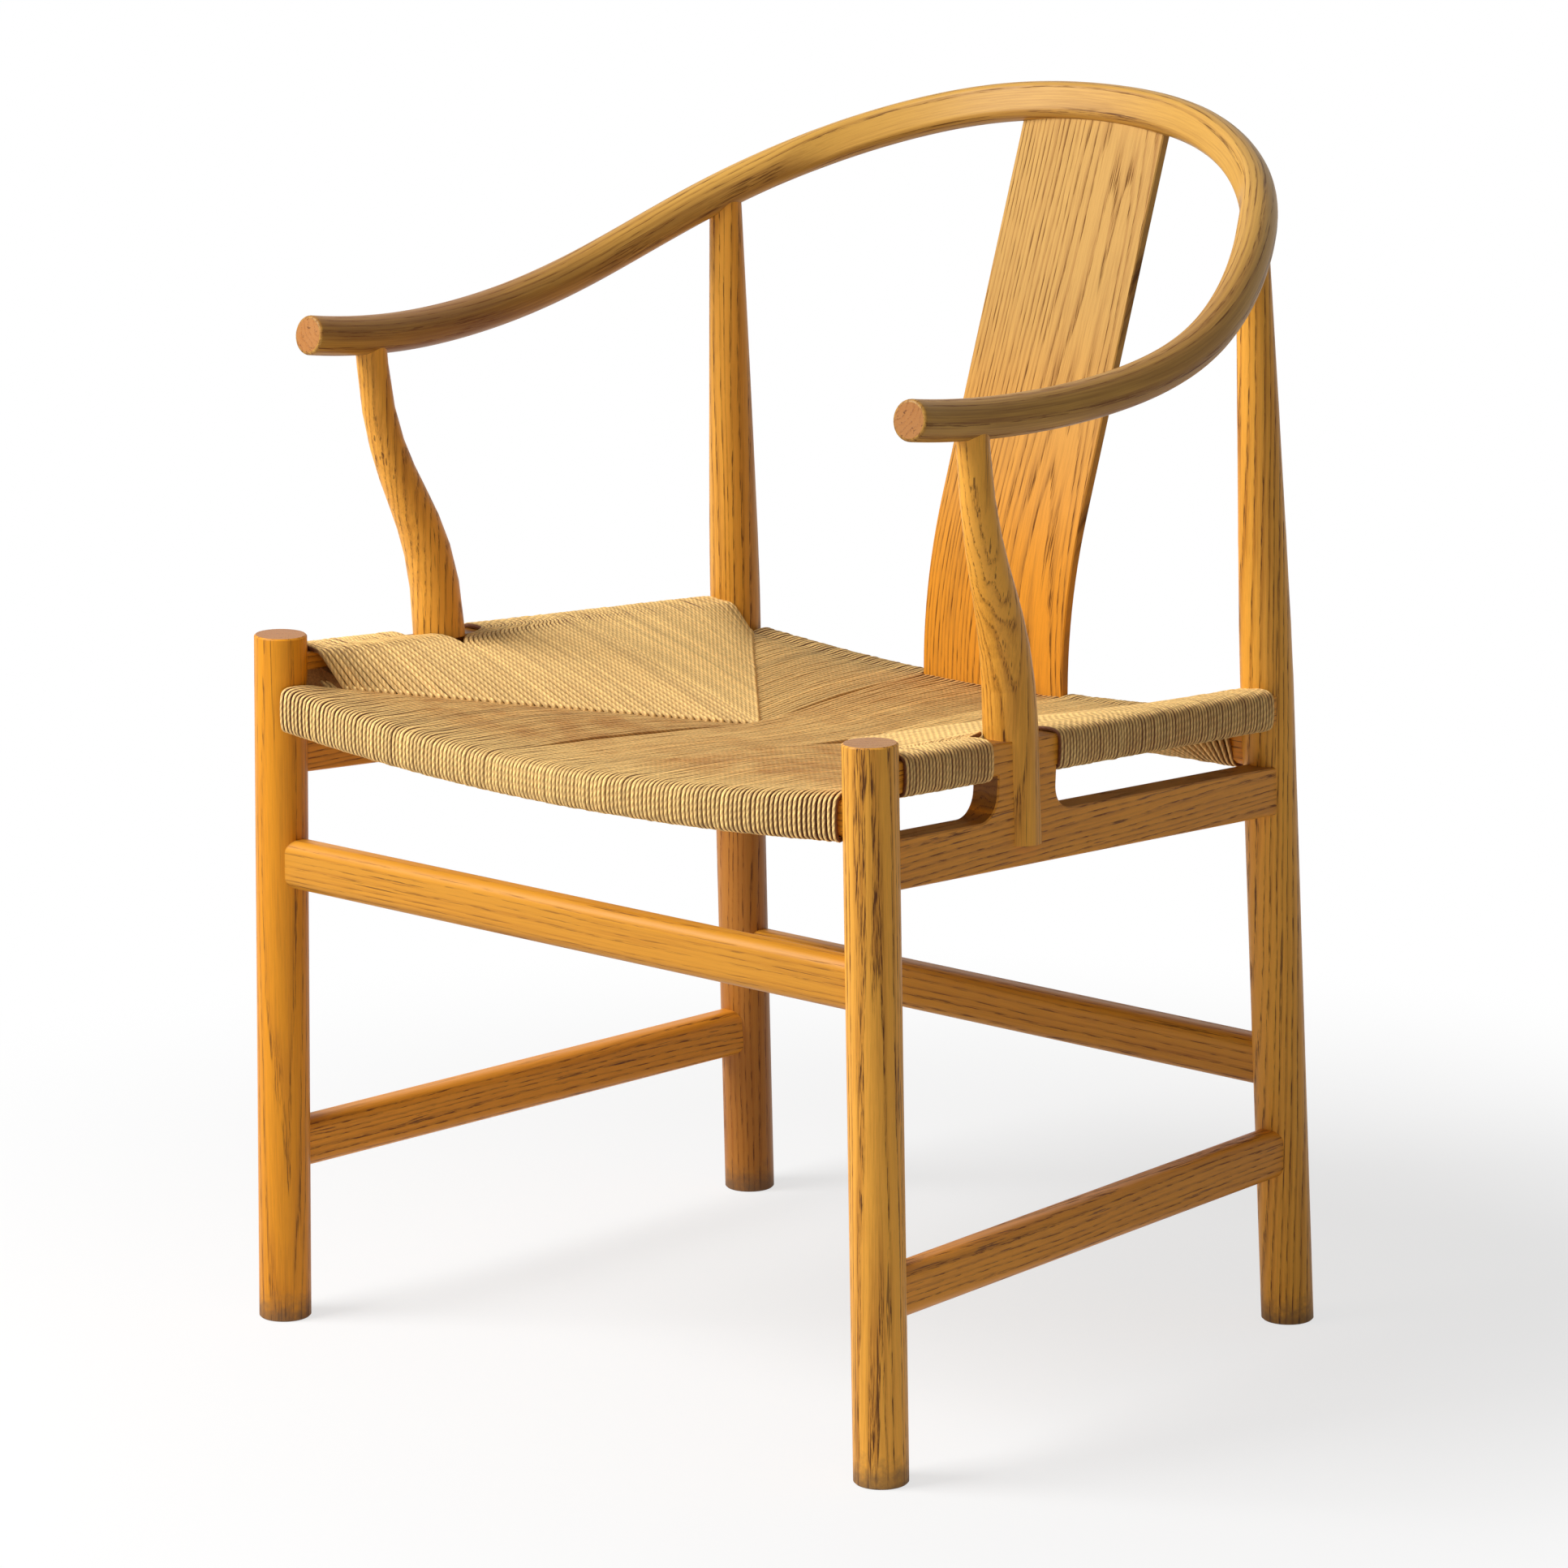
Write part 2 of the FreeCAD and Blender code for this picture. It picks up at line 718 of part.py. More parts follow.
def stretcher(start, end, legs):
    """Straight bar with rounded edges, shaped to the legs at both ends."""
    direction = (end - start).normalize()
    across = up.cross(direction).normalize()
    upright = direction.cross(across)
    size = (stretcher_thickness, stretcher_depth, stretcher_corner_radius)
    outline = rounded_rectangle(start, across, upright, *size)
    bar = Part.Face(outline).extrude(end - start).cut(legs)
    return single(bar.fuse(stretcher_tenons(start, end)))


# Woven seat

seat_centre_height = front_rail_end.z - seat_centre_drop


def seat_section(along_share, across_share, climb_share):
    """Points round a cut across the seat: cord on both side bars, sloping fields and a middle."""
    side = apron_start + (apron_end - apron_start) * along_share
    in_front = along_share <= seat_middle_share
    if in_front:
        corner_height = front_rail_end.z + seat_front_corner_rise
        half_width = front_rail_end.x - leg_radius
        rail_top = front_rail_end.z - front_rail_height / 2 - front_rail_dip + front_rail_middle_height
        rail_low = front_rail_end.z - front_rail_height / 2 - front_rail_dip
        away = 1 - along_share / seat_middle_share
    else:
        corner_height = back_rail_end.z + seat_back_corner_rise
        half_width = back_rail_end.x - leg_radius
        rail_top = back_rail_middle_top
        rail_low = back_rail_end.z - back_rail_height / 2
        away = (along_share - seat_middle_share) / (1 - seat_middle_share)
    seam = half_width * across_share
    seam_foot = seat_centre_height + seat_dish
    seam_top = seam_foot + (corner_height - seam_foot) * climb_share
    seam_low = seam_top - seam_thickness
    centre_low = seat_centre_height - seam_thickness
    tuck = cord_diameter - seat_tuck
    middle_top = seat_centre_height + (rail_top + tuck - seat_centre_height) * away
    middle_low = centre_low + (rail_low - tuck - centre_low) * away
    inner = side.x - apron_thickness / 2
    outer = side.x + apron_thickness / 2 + cord_diameter
    top = side.z + apron_height + cord_diameter
    low = side.z + apron_height - apron_top_bar - cord_diameter
    cut = cord_corner_cut

    def half(sign):
        places = (
            (seam, seam_top),
            (inner, top),
            (outer - cut, top),
            (outer, top - cut),
            (outer, low + cut),
            (outer - cut, low),
            (inner, low),
            (seam, seam_low),
        )
        return [Vector(sign * x, side.y, z) for x, z in places]

    middles = [Vector(0, side.y, middle_low), Vector(0, side.y, middle_top)]
    return half(1) + middles[:1] + list(reversed(half(-1))) + middles[1:]


def panelled(rows):
    """Solid of flat three-cornered panels between rows of points, closed by the end rows."""
    outlines = [rows[0], rows[-1]]
    for first, second in zip(rows, rows[1:]):
        for index, point in enumerate(first):
            outlines.append([first[index - 1], point, second[index]])
            outlines.append([first[index - 1], second[index], second[index - 1]])
    faces = [Part.Face(Part.makePolygon(points + points[:1])) for points in outlines]
    return Part.makeSolid(Part.makeShell(faces))


def seat_weave():
    """The cord as one body: fields that sag between the rails and cover round the bars."""
    clear = cord_clearance
    fields = panelled([seat_section(*row) for row in seam_shares])
    covers = [front_rail_round(cord_diameter), back_rail_round(cord_diameter)]
    half_board = apron_thickness / 2 + clear
    bar_low = apron_height - apron_top_bar - clear
    bar_height = apron_top_bar + 2 * clear
    cuts = [apron_box(0, apron_run, -half_board, 2 * half_board, bar_low, bar_height)]
    # No cord goes round the bar at the legs and over the block
    for start, end in (
        (-overrun, leg_radius + clear),
        (apron_block_start - clear, apron_block_start + apron_block_length + clear),
        (apron_run - leg_radius - clear, apron_run + overrun),
    ):
        cuts.append(apron_box(start, end - start, -overrun, overrun + half_board, 0, 2 * overrun))
    cuts += [front_leg_round(clear), rear_leg_round(clear), support_foot_round(clear, overrun)]
    rails = [front_rail_round(clear), back_rail_round(clear)]
    half_splat = splat_width / 2 + clear
    rail_front = back_rail_end.y - rail_thickness / 2 - clear
    splat_space = Part.makeBox(
        2 * half_splat, overrun, 2 * overrun, Vector(-half_splat, rail_front, back_rail_end.z - overrun)
    )
    body = fields.fuse(covers).cut(both_sides(cuts))
    return single(body.cut(rails + [splat_space]))


def build():
    bow = bow_round()
    front_legs = both_sides([front_leg_round()])
    rear_legs = both_sides([rear_leg_round()])
    side_legs = [front_leg_round(), rear_leg_round()]
    paired = {
        "front_leg": front_leg(),
        "rear_leg": rear_leg(bow),
        "arm_support": arm_support(bow),
        "side_apron": side_apron(),
        "side_stretcher": stretcher(side_stretcher_front, side_stretcher_back, side_legs),
    }
    pieces = {
        "arm_bow": arm_bow(bow),
        "back_splat": back_splat(),
        "front_seat_rail": front_seat_rail(),
        "back_seat_rail": back_seat_rail(),
        "front_stretcher": stretcher(front_stretcher_end, opposite(front_stretcher_end), front_legs),
        "back_stretcher": stretcher(back_stretcher_end, opposite(back_stretcher_end), rear_legs),
        "seat_weave": seat_weave(),
    }
    for name, shape in paired.items():
        pieces[name + "_left"] = shape
        pieces[name + "_right"] = mirrored(shape)
    return pieces


os.makedirs("parts", exist_ok=True)
for node, piece in build().items():
    piece.exportStep(f"parts/{node}.step")
    print(node, piece.ShapeType, piece.isValid(), round(piece.Volume))
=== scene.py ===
import math

import bpy
import numpy as np
from mathutils import Matrix, Vector


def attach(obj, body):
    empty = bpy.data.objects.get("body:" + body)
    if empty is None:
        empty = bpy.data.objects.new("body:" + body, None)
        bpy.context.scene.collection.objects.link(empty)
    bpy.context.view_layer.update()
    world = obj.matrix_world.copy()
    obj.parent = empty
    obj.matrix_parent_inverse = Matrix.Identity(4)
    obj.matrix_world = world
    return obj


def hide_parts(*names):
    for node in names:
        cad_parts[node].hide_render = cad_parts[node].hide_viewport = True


# Looks of the horseshoe back armchair, in metres.
# The chair faces -Y, the sitter's left side is +X, and the floor is z = 0.

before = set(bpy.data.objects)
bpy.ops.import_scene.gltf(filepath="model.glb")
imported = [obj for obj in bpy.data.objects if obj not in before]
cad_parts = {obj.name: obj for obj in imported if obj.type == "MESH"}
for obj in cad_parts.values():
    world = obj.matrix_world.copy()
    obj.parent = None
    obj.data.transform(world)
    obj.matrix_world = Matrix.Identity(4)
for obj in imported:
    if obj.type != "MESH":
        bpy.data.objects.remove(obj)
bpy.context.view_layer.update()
rng = np.random.default_rng(11)
mm = 0.001

# Camera, fitted to the photograph
camera_azimuth = math.radians(42.073)  # to the chair's left of straight ahead
camera_height_angle = math.radians(12.543)
camera_roll = math.radians(-0.224)
camera_distance = 4.27625
camera_reach = 100.0
camera_target = Vector((0.00263, -0.05317, 0.36044))
sensor_width = 36.0
photo_width = 1932.0
photo_focal_length = 8253.17  # in the photograph's pixels

# Light
key_direction = Vector((-0.50, -0.78, 0.82))
key_distance = 2.6
key_size = 1.5
key_power = 88.0
fill_direction = Vector((0.75, -0.62, 0.35))
fill_distance = 3.0
fill_size = 2.4
fill_power = 4.0
world_strength = 0.195
plain_white = (1.0, 1.0, 1.0, 1.0)
floor_grey = (0.84, 0.84, 0.84, 1.0)
floor_size = 40.0
floor_fade = (0.45, 1.00)  # from the floor that takes shadows to plain white
floor_white_share = 0.70  # of plain white where the floor takes shadows

# Colours of the wood, as they show on a screen
honey = (228, 150, 44)
honey_dark = (158, 90, 22)
near_honey = (238, 168, 62)
far_honey = (222, 144, 26)
front_honey = (208, 142, 42)
# Painted shade for the seat's shadow on the lower right rear leg
shaded_honey = (176, 112, 42)
# The splat's colour higher up is paler for a painted sheen; splat_foot is its full colour low down.
splat_honey_with_sheen = (202, 156, 84)
splat_dark = (150, 98, 44)
splat_foot = (232, 150, 40)
bow_honey = (206, 156, 72)
bow_dark = (140, 88, 36)
bow_end = (172, 116, 62)
end_grain = (138, 92, 58)
pore = (84, 44, 12)
foot_dirt = (92, 74, 56)
# Dirt and painted shade on the aprons' faces in their slots
slot_dirt_and_shade = (92, 60, 36)
hand_grime = (124, 74, 26)

# Colours of the cord, and of the painted shade between cords
straw = (252, 208, 130)
soiled_straw = (198, 138, 68)
cord_gap_shade = (96, 48, 10)


def linear(colour):
    """A screen colour as the shaders take it."""
    steps = [value / 255 for value in colour]
    return tuple(v / 12.92 if v <= 0.04045 else ((v + 0.055) / 1.055) ** 2.4 for v in steps) + (1.0,)


# Shader nodes

bump_depth = 0.0004


class Shader:
    """The node tree of a material or a world, with short calls to add to it."""

    def __init__(self, owner):
        owner.use_nodes = True
        self.owner = owner
        self.tree = owner.node_tree
        self.tree.nodes.clear()

    def add(self, kind, inputs=None, **settings):
        node = self.tree.nodes.new(kind)
        for name, value in settings.items():
            setattr(node, name, value)
        for name, value in (inputs or {}).items():
            socket = node.inputs[name]
            if isinstance(value, bpy.types.NodeSocket):
                self.tree.links.new(value, socket)
            else:
                socket.default_value = value
        return node

    def math(self, operation, *values, clamp=False):
        node = self.add("ShaderNodeMath", dict(enumerate(values)), operation=operation, use_clamp=clamp)
        return node.outputs[0]

    def vector(self, operation, *values):
        node = self.add("ShaderNodeVectorMath", dict(enumerate(values)), operation=operation)
        return node.outputs["Value" if operation in ("LENGTH", "DOT_PRODUCT") else "Vector"]

    def mix(self, factor, first, second):
        node = self.add("ShaderNodeMix", {0: factor, 6: first, 7: second}, data_type="RGBA")
        return node.outputs[2]

    def stain(self, colour, mask, strength, over):
        """A colour with a screen colour over it where a mask says so."""
        return self.mix(self.math("MULTIPLY", mask, strength), colour, linear(over))

    def noise(self, vector, scale, detail=2.0, roughness=0.5):
        inputs = {"Vector": vector, "Scale": scale, "Detail": detail, "Roughness": roughness}
        return self.add("ShaderNodeTexNoise", inputs).outputs["Fac"]

    def grain(self, place, scales, detail, roughness=0.5):
        """Noise with a scale of its own along each axis."""
        return self.noise(self.vector("MULTIPLY", place, scales), 1.0, detail, roughness)

    def step(self, value, low, high):
        """0 below low and 1 above high, with a soft rise between them."""
        inputs = {"Value": value, "From Min": low, "From Max": high}
        node = self.add("ShaderNodeMapRange", inputs, interpolation_type="SMOOTHSTEP")
        return node.outputs[0]

    def fall(self, value, low, high):
        """1 below low and 0 above high, with a soft fall between them."""
        return self.math("SUBTRACT", 1.0, self.step(value, low, high))

    def band(self, value, rise, fall):
        """1 between a rise and a fall, and 0 outside them."""
        return self.math("MULTIPLY", self.step(value, *rise), self.fall(value, *fall))

    def centred(self, value, middle, strength):
        """A value counted from its middle, times a strength."""
        return self.math("MULTIPLY", self.math("SUBTRACT", value, middle), strength)

    def ranged(self, value, low, gain):
        """A value of 0 to 1 as low to low plus gain."""
        return self.math("ADD", low, self.math("MULTIPLY", value, gain))

    def place(self):
        return self.add("ShaderNodeTexCoord").outputs["Object"]

    def normal(self):
        return self.add("ShaderNodeNewGeometry").outputs["Normal"]

    def parts(self, vector):
        return self.add("ShaderNodeSeparateXYZ", {0: vector}).outputs

    def attribute(self, name, output="Fac"):
        return self.add("ShaderNodeAttribute", attribute_name=name).outputs[output]

    def bump(self, relief, strength):
        inputs = {"Height": relief, "Strength": strength, "Distance": bump_depth}
        return self.add("ShaderNodeBump", inputs).outputs[0]

    def seen(self):
        """1 for what the camera sees, also in a mirror or through glass, and 0 for light."""
        path = self.add("ShaderNodeLightPath")
        share = path.outputs["Is Camera Ray"]
        for name in ("Is Glossy Ray", "Is Transmission Ray"):
            share = self.math("MAXIMUM", share, path.outputs[name])
        return share

    def output(self, shader, kind="ShaderNodeOutputMaterial"):
        self.tree.links.new(shader.outputs[0], self.add(kind).inputs["Surface"])

    def surface(self, **inputs):
        named = {name.replace("_", " "): value for name, value in inputs.items()}
        self.output(self.add("ShaderNodeBsdfPrincipled", named))
        return self.owner


def new_shader(name):
    return Shader(bpy.data.materials.new(name))


# Wood

# Turns that bring a piece's grain upright
upright_turn = (0.0, 0.0, 0.0)
sideways_turn = (0.0, math.radians(90), 0.0)
lengthways_turn = (math.radians(90), 0.0, 0.0)

# Scales of the figure, across the grain both ways and along it
wobble_scales = (9.0, 9.0, 3.1)
uneven_scales = (75.0, 75.0, 0.0)
broad_scales = (30.0, 30.0, 4.0)
crack_scales = (330.0, 330.0, 4.5)
streak_scales = (760.0, 760.0, 14.0)
fine_scales = (2600.0, 2600.0, 60.0)
pore_scale = 1300.0

ring_wander = 0.0096
ring_unevenness = 2.4
timber_step = 1.7  # along the grain, for each unit of a piece's seed

# The dark line and the row of pores in each ring: where they rise and fall
line_rise, line_fall = (0.0, 0.16), (0.22, 0.62)
row_rise, row_fall = (0.0, 0.10), (0.16, 0.38)

# How strongly each part of the figure and each kind of wear shows
line_tone = 0.40
streak_tone = 0.95
broad_tone = 1.0
fine_tone = 0.5
pore_strength = 0.92
stray_pores = 0.08  # of the pores between the rows
crack_strength = 0.75
painted_low_strength = 0.9
dirt_strength = 0.75
end_strength = 0.7
slot_dirt_and_shade_strength = 0.7
grime_base, grime_gain = 0.10, 0.55

# Heights
dirt_edge = (0.012, 0.036)
dirt_specks = 0.026
rear_shade_edge = (0.30, 0.42)
splat_sheen_edge = (0.44, 0.66)


def growth_rings(s, place, pith, rings):
    """How far each point is through its ring, from 0 to 1, round a line that wanders."""
    inputs = {"Vector": s.vector("MULTIPLY", place, wobble_scales), "Scale": 1.0, "Detail": 2.0}
    wobble = s.add("ShaderNodeTexNoise", inputs).outputs["Color"]
    wobble = s.vector("SUBTRACT", wobble, (0.5, 0.5, 0.5))
    wobble = s.vector("MULTIPLY", wobble, (ring_wander, ring_wander, 0.0))
    across = s.vector("ADD", s.vector("MULTIPLY", place, (1.0, 1.0, 0.0)), wobble)
    radius = s.vector("LENGTH", s.vector("SUBTRACT", across, (*pith, 0.0)))
    uneven = s.math("MULTIPLY", s.grain(across, uneven_scales, 1.0), ring_unevenness)
    return s.math("FRACT", s.math("ADD", s.math("MULTIPLY", radius, rings), uneven))


def wood(
    name,
    light,
    dark,
    turn,
    pith,
    seed,
    rings=230.0,
    lines=1.0,
    dash=55.0,
    scale=(1.0, 1.0, 1.0),
    gloss=0.22,
    painted_low_light=None,
    end_axis=None,
    bent=False,
    grimed=False,
    dirty_shaded_slots=False,
):
    """Oiled wood: growth rings round a pith line, with rows of open pores along the grain.

    turn brings the grain upright, pith is the rings' centre across the grain, and rings is their
    number in a metre. A colour for the lower part, with two heights between which the light colour takes
    over, is painted light: shade low on a leg, and a paler sheen above a splat's foot.
    """
    s = new_shader(name)
    spot = s.place()
    if bent:
        place = s.attribute("grain", "Vector")
    else:
        place = s.add("ShaderNodeMapping", {"Vector": spot, "Rotation": turn, "Scale": scale}).outputs[0]
    place = s.vector("ADD", place, (0.0, 0.0, seed * timber_step))
    ring = growth_rings(s, place, pith, rings)
    dashes = s.grain(place, (pore_scale, pore_scale, dash), 3.0, 0.6)
    streak = s.grain(place, streak_scales, 3.0, 0.6)
    fine = s.grain(place, fine_scales, 2.0, 0.55)
    broad = s.grain(place, broad_scales, 3.0, 0.55)

    tone = s.math("MULTIPLY", s.band(ring, line_rise, line_fall), line_tone * lines)
    tone = s.math("ADD", tone, s.centred(streak, 0.48, streak_tone))
    tone = s.math("ADD", tone, s.centred(broad, 0.48, broad_tone))
    tone = s.math("ADD", tone, s.centred(fine, 0.5, fine_tone), clamp=True)
    rows = s.math("ADD", stray_pores, s.band(ring, row_rise, row_fall))
    pores = s.math("MULTIPLY", s.step(dashes, 0.47, 0.62), rows)
    pores = s.math("MULTIPLY", pores, pore_strength * lines, clamp=True)

    height = s.parts(spot)[2]
    body = linear(light)
    if painted_low_light:
        # Painted light by height: the lower colour below the given heights, the light colour above them.
        painted_low_colour, painted_low_edge = painted_low_light
        body = s.stain(body, s.fall(height, *painted_low_edge), painted_low_strength, painted_low_colour)
    colour = s.mix(tone, body, linear(dark))
    colour = s.mix(pores, colour, linear(pore))

    specks = s.math("MULTIPLY", s.noise(spot, 160.0, 3.0, 0.6), dirt_specks)
    dirt = s.fall(s.math("ADD", height, specks), *dirt_edge)
    colour = s.stain(colour, dirt, dirt_strength, foot_dirt)
    if not painted_low_light:
        cracks = s.step(s.grain(place, crack_scales, 2.0), 0.665, 0.70)
        cracks = s.math("MULTIPLY", cracks, s.step(dashes, 0.35, 0.50))
        colour = s.stain(colour, cracks, crack_strength, pore)
    if grimed:
        patches = s.step(s.math("ADD", broad, s.math("MULTIPLY", streak, 0.5)), 0.50, 0.88)
        grime = s.math("MULTIPLY", s.attribute("grime"), s.ranged(patches, grime_base, grime_gain))
        colour = s.mix(grime, colour, linear(hand_grime))
    if end_axis:
        facing = s.math("ABSOLUTE", s.vector("DOT_PRODUCT", s.normal(), end_axis))
        colour = s.stain(colour, s.step(facing, 0.72, 0.90), end_strength, end_grain)
    if dirty_shaded_slots:
        # Dirt and painted shade on the aprons' faces that look up, forwards and back, as in their slots
        normal = s.parts(s.normal())
        inside = s.math("MAXIMUM", s.math("ABSOLUTE", normal[1]), normal[2])
        colour = s.stain(colour, s.step(inside, 0.60, 0.92), slot_dirt_and_shade_strength, slot_dirt_and_shade)

    relief = s.math("SUBTRACT", s.math("MULTIPLY", streak, 0.35), pores)
    open_places = s.math("ADD", pores, s.math("MULTIPLY", dirt, 0.5))
    return s.surface(
        Base_Color=colour,
        Roughness=s.ranged(open_places, 0.40, 0.25),
        Normal=s.bump(relief, 0.3),
        Specular_IOR_Level=gloss,
    )


def put_on(piece, material):
    piece.data.materials.clear()
    piece.data.materials.append(material)


def dress_wood():
    """Gives every wooden node its own length of timber."""
    plans = {
        "front_leg_left": (near_honey, upright_turn, (0.330, -0.36), 1.0, (0, 0, 1)),
        "front_leg_right": (far_honey, upright_turn, (-0.36, -0.12), 0.7, (0, 0, 1)),
        "rear_leg_left": (near_honey, upright_turn, (0.14, 0.03), 1.0, None),
        "rear_leg_right": (near_honey, upright_turn, (-0.36, 0.06), 0.9, None),
        "arm_support_left": (near_honey, upright_turn, (0.36, -0.19), 0.8, None),
        "arm_support_right": (near_honey, upright_turn, (-0.36, -0.21), 0.8, None),
        "side_apron_left": (honey, lengthways_turn, (0.20, -0.95), 0.9, None),
        "side_apron_right": (honey, lengthways_turn, (-0.20, -0.95), 0.9, None),
        "side_stretcher_left": (honey, lengthways_turn, (0.24, 0.12), 0.9, None),
        "side_stretcher_right": (honey, lengthways_turn, (-0.24, 0.12), 0.9, None),
        "front_stretcher": (front_honey, sideways_turn, (-0.02, -0.32), 0.5, None),
        "back_stretcher": (front_honey, sideways_turn, (0.1, 0.11), 0.8, None),
        "front_seat_rail": (honey, sideways_turn, (-0.1, -0.28), 0.8, None),
        "back_seat_rail": (honey, sideways_turn, (-0.1, 0.20), 0.8, None),
    }
    for seed, (node, (light, turn, pith, lines, end_axis)) in enumerate(plans.items()):
        look = wood(
            "wood_" + node,
            light,
            honey_dark,
            turn,
            pith,
            seed + 1.3,
            lines=lines,
            # The right rear leg is painted darker low down for the seat's shadow.
            painted_low_light=(shaded_honey, rear_shade_edge) if node == "rear_leg_right" else None,
            end_axis=end_axis,
            dirty_shaded_slots="apron" in node,
        )
        put_on(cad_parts[node], look)
    look = wood(
        "wood_splat",
        splat_honey_with_sheen,
        splat_dark,
        (0.04, 0.0, 0.0),
        (0.030, 0.035),
        30.0,
        rings=350.0,
        lines=0.9,
        dash=13.0,
        scale=(1.0, 0.04, 1.0),
        gloss=0.08,
        # Painted sheen: the splat is paler above these heights than at its foot.
        painted_low_light=(splat_foot, splat_sheen_edge),
    )
    put_on(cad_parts["back_splat"], look)


# Woven seat, in millimetres. Here y counts back from the front legs' axes.

front_line = -252.05  # the front legs' axes in the chair's own frame
cord = 3.4
cord_sides = 10
ply_turn = 4.4  # length of cord from one ply to the next
field_cords = 57  # of the front field, on each side of the middle
first_side_cord = 3
cords_before_block = 27
back_cords = 45
band_cords = 27  # that run from the front rail to the back one

# Bars under the cord
rail_half = 10.5  # of the two rails' thickness
front_rail_end = 251.2  # from the middle
back_rail_end = 230.1
back_rail_line = 409.5
bar_half = 10.0  # of the side bars' thickness
bar_height = 19.5

# Seams: the point at the corner, and the way from there to the middle
front_corner, front_run = (231.3, 18.0, 418.3), (-188.2, 200.0, -30.0)
back_corner, back_run = (205.0, 394.0, 401.5), (-164.0, -172.4, -13.2)
layer_gap = 6.6  # between the upper and the lower layer of cord at a seam
full_field = 160.0  # length across a field from which its cords swell in full

# Cords round a side bar: in front of the block, behind it, and of the back field
wrap_start, wrap_step = 19.6, 3.14
field_step = 4.30  # of the same cords where they leave the bar for their field
block_end, block_step = 170.5, 3.05
back_wrap_start, back_wrap_end = 253.5, 390.6

# Dark sheet between the two layers of cord, painted shade that shows through the gaps
core_start, core_depth = 8.0, 391.0
core_thickness = 1.2
core_rows_count = 25
core_edge = 9.0  # of its wings, from the side bars' middles and above their lower edges
core_drop = 4.0  # below the seams and the middle cords
core_middle_lines, core_middle_heights = (14.0, 225.0, 394.0), (401.0, 389.0, 385.0)
fields_meet = 220.0  # where the front and the back seams come closest

# Soil of the cords, with painted shade on the side bars' outer faces and in the gaps between cords, from 0
# to 1
least_soil = 0.06
front_soil, band_soil, back_soil, side_soil_and_shade = 0.70, 0.40, 0.10, 0.55
soil_start, soil_rise = 2.0, 40.0  # behind the front legs' axes, where the field's soil grows
lower_layer = 384.0  # height that parts the field's two layers
least_gap_shade, bar_gap_shade = 0.36, 0.62
gap_shade_fade = 12.0  # from the bars


def swell(x, end):
    """1 at a rail's middle and 0 at its ends."""
    return 1 - (x / end) ** 2


def back_rail_top(x):
    """Height of the cords' middles on the back rail."""
    return 401.0 - 12.5 * swell(x, back_rail_end) + cord / 2


def bar_middle(y):
    """Middle of the left side bar across the chair."""
    return 251.08 - 0.0430 * y


def bar_low(y):
    """Height of the side bars' lower edge."""
    return 423.8 - 0.0586 * y


def along_seam(corner, run, share):
    """Point of a seam at a share of its way from the corner to the middle."""
    return tuple(start + way * share for start, way in zip(corner, run))


def front_seam(k):
    """Where the front field's cord k meets the side field."""
    return along_seam(front_corner, front_run, k / (field_cords - 1))


def back_seam(k):
    """Where the back field's cord k meets the side field, from the outside inwards."""
    return along_seam(back_corner, back_run, k / (back_cords - 1))


def paths_through(*points):
    """Paths of many cords through points whose x, y and z are numbers or one value a cord."""
    count = max(np.size(value) for point in points for value in point)
    spread = [[np.broadcast_to(np.asarray(v, float), count) for v in point] for point in points]
    return np.stack([np.stack(point, axis=1) for point in spread], axis=1)


def cut_corners(paths, times=2):
    for _ in range(times):
        near = paths[:, :-1] * 0.75 + paths[:, 1:] * 0.25
        far = paths[:, :-1] * 0.25 + paths[:, 1:] * 0.75
        inner = np.stack([near, far], axis=2).reshape(len(paths), -1, 3)
        paths = np.concatenate([paths[:, :1], inner, paths[:, -1:]], axis=1)
    return paths


def round_rail(x, wide, middle, out, low, top, inner):
    """Points round a rail, from the inner edge of its top to that of its underside.

    wide is x on the rail's outer face, and out is -1 where that face looks forwards and 1 where
    it looks back. inner is the first point's distance from the rail's middle.
    """
    face = middle + out * (rail_half + cord / 2)
    return [
        (x, middle - out * inner, top - 0.6),
        (x, middle, top + 0.6),
        (wide, face - out * 3.0, top + 0.2),
        (wide, face + out * 0.2, top - 3.4),
        (wide, face + out * 0.2, low + 3.4),
        (wide, face - out * 3.0, low - 0.2),
        (x, middle, low - 0.4),
        (x, middle - out * 10.0, low + 0.4),
    ]


def round_front_rail(x):
    rise = swell(x, front_rail_end)
    low = 398.75 - 10.0 * rise - cord / 2
    top = 422.75 - 16.0 * rise + cord / 2
    wide = x + 4.0 * (x / front_corner[0]) ** 7  # fills the corner beside the leg
    return round_rail(x, wide, -12.0 * rise, -1, low, top, 9.0)


def round_back_rail(x):
    return round_rail(x, x, back_rail_line, 1, 370.5 - cord / 2, back_rail_top(x), 8.5)


def round_bar(y):
    """Points round the left side bar, from the inner edge of its top to that of its underside."""
    middle = bar_middle(y)
    low = bar_low(y) - cord / 2
    top = bar_low(y) + bar_height + cord / 2
    outer = middle + bar_half + cord / 2
    return [
        (middle - 9.4, y, top - 0.8),
        (middle, y, top + 0.7),
        (outer - 2.8, y, top + 0.3),
        (outer + 0.2, y, top - 3.2),
        (outer + 0.2, y, low + 3.2),
        (outer - 2.8, y, low - 0.2),
        (middle, y, low - 0.4),
        (middle - 9.8, y, low + 0.8),
    ]


def between(start, end, share, lift=0.0):
    return tuple(a + (b - a) * share + c for a, b, c in zip(start, end, (0.0, 0.0, lift)))


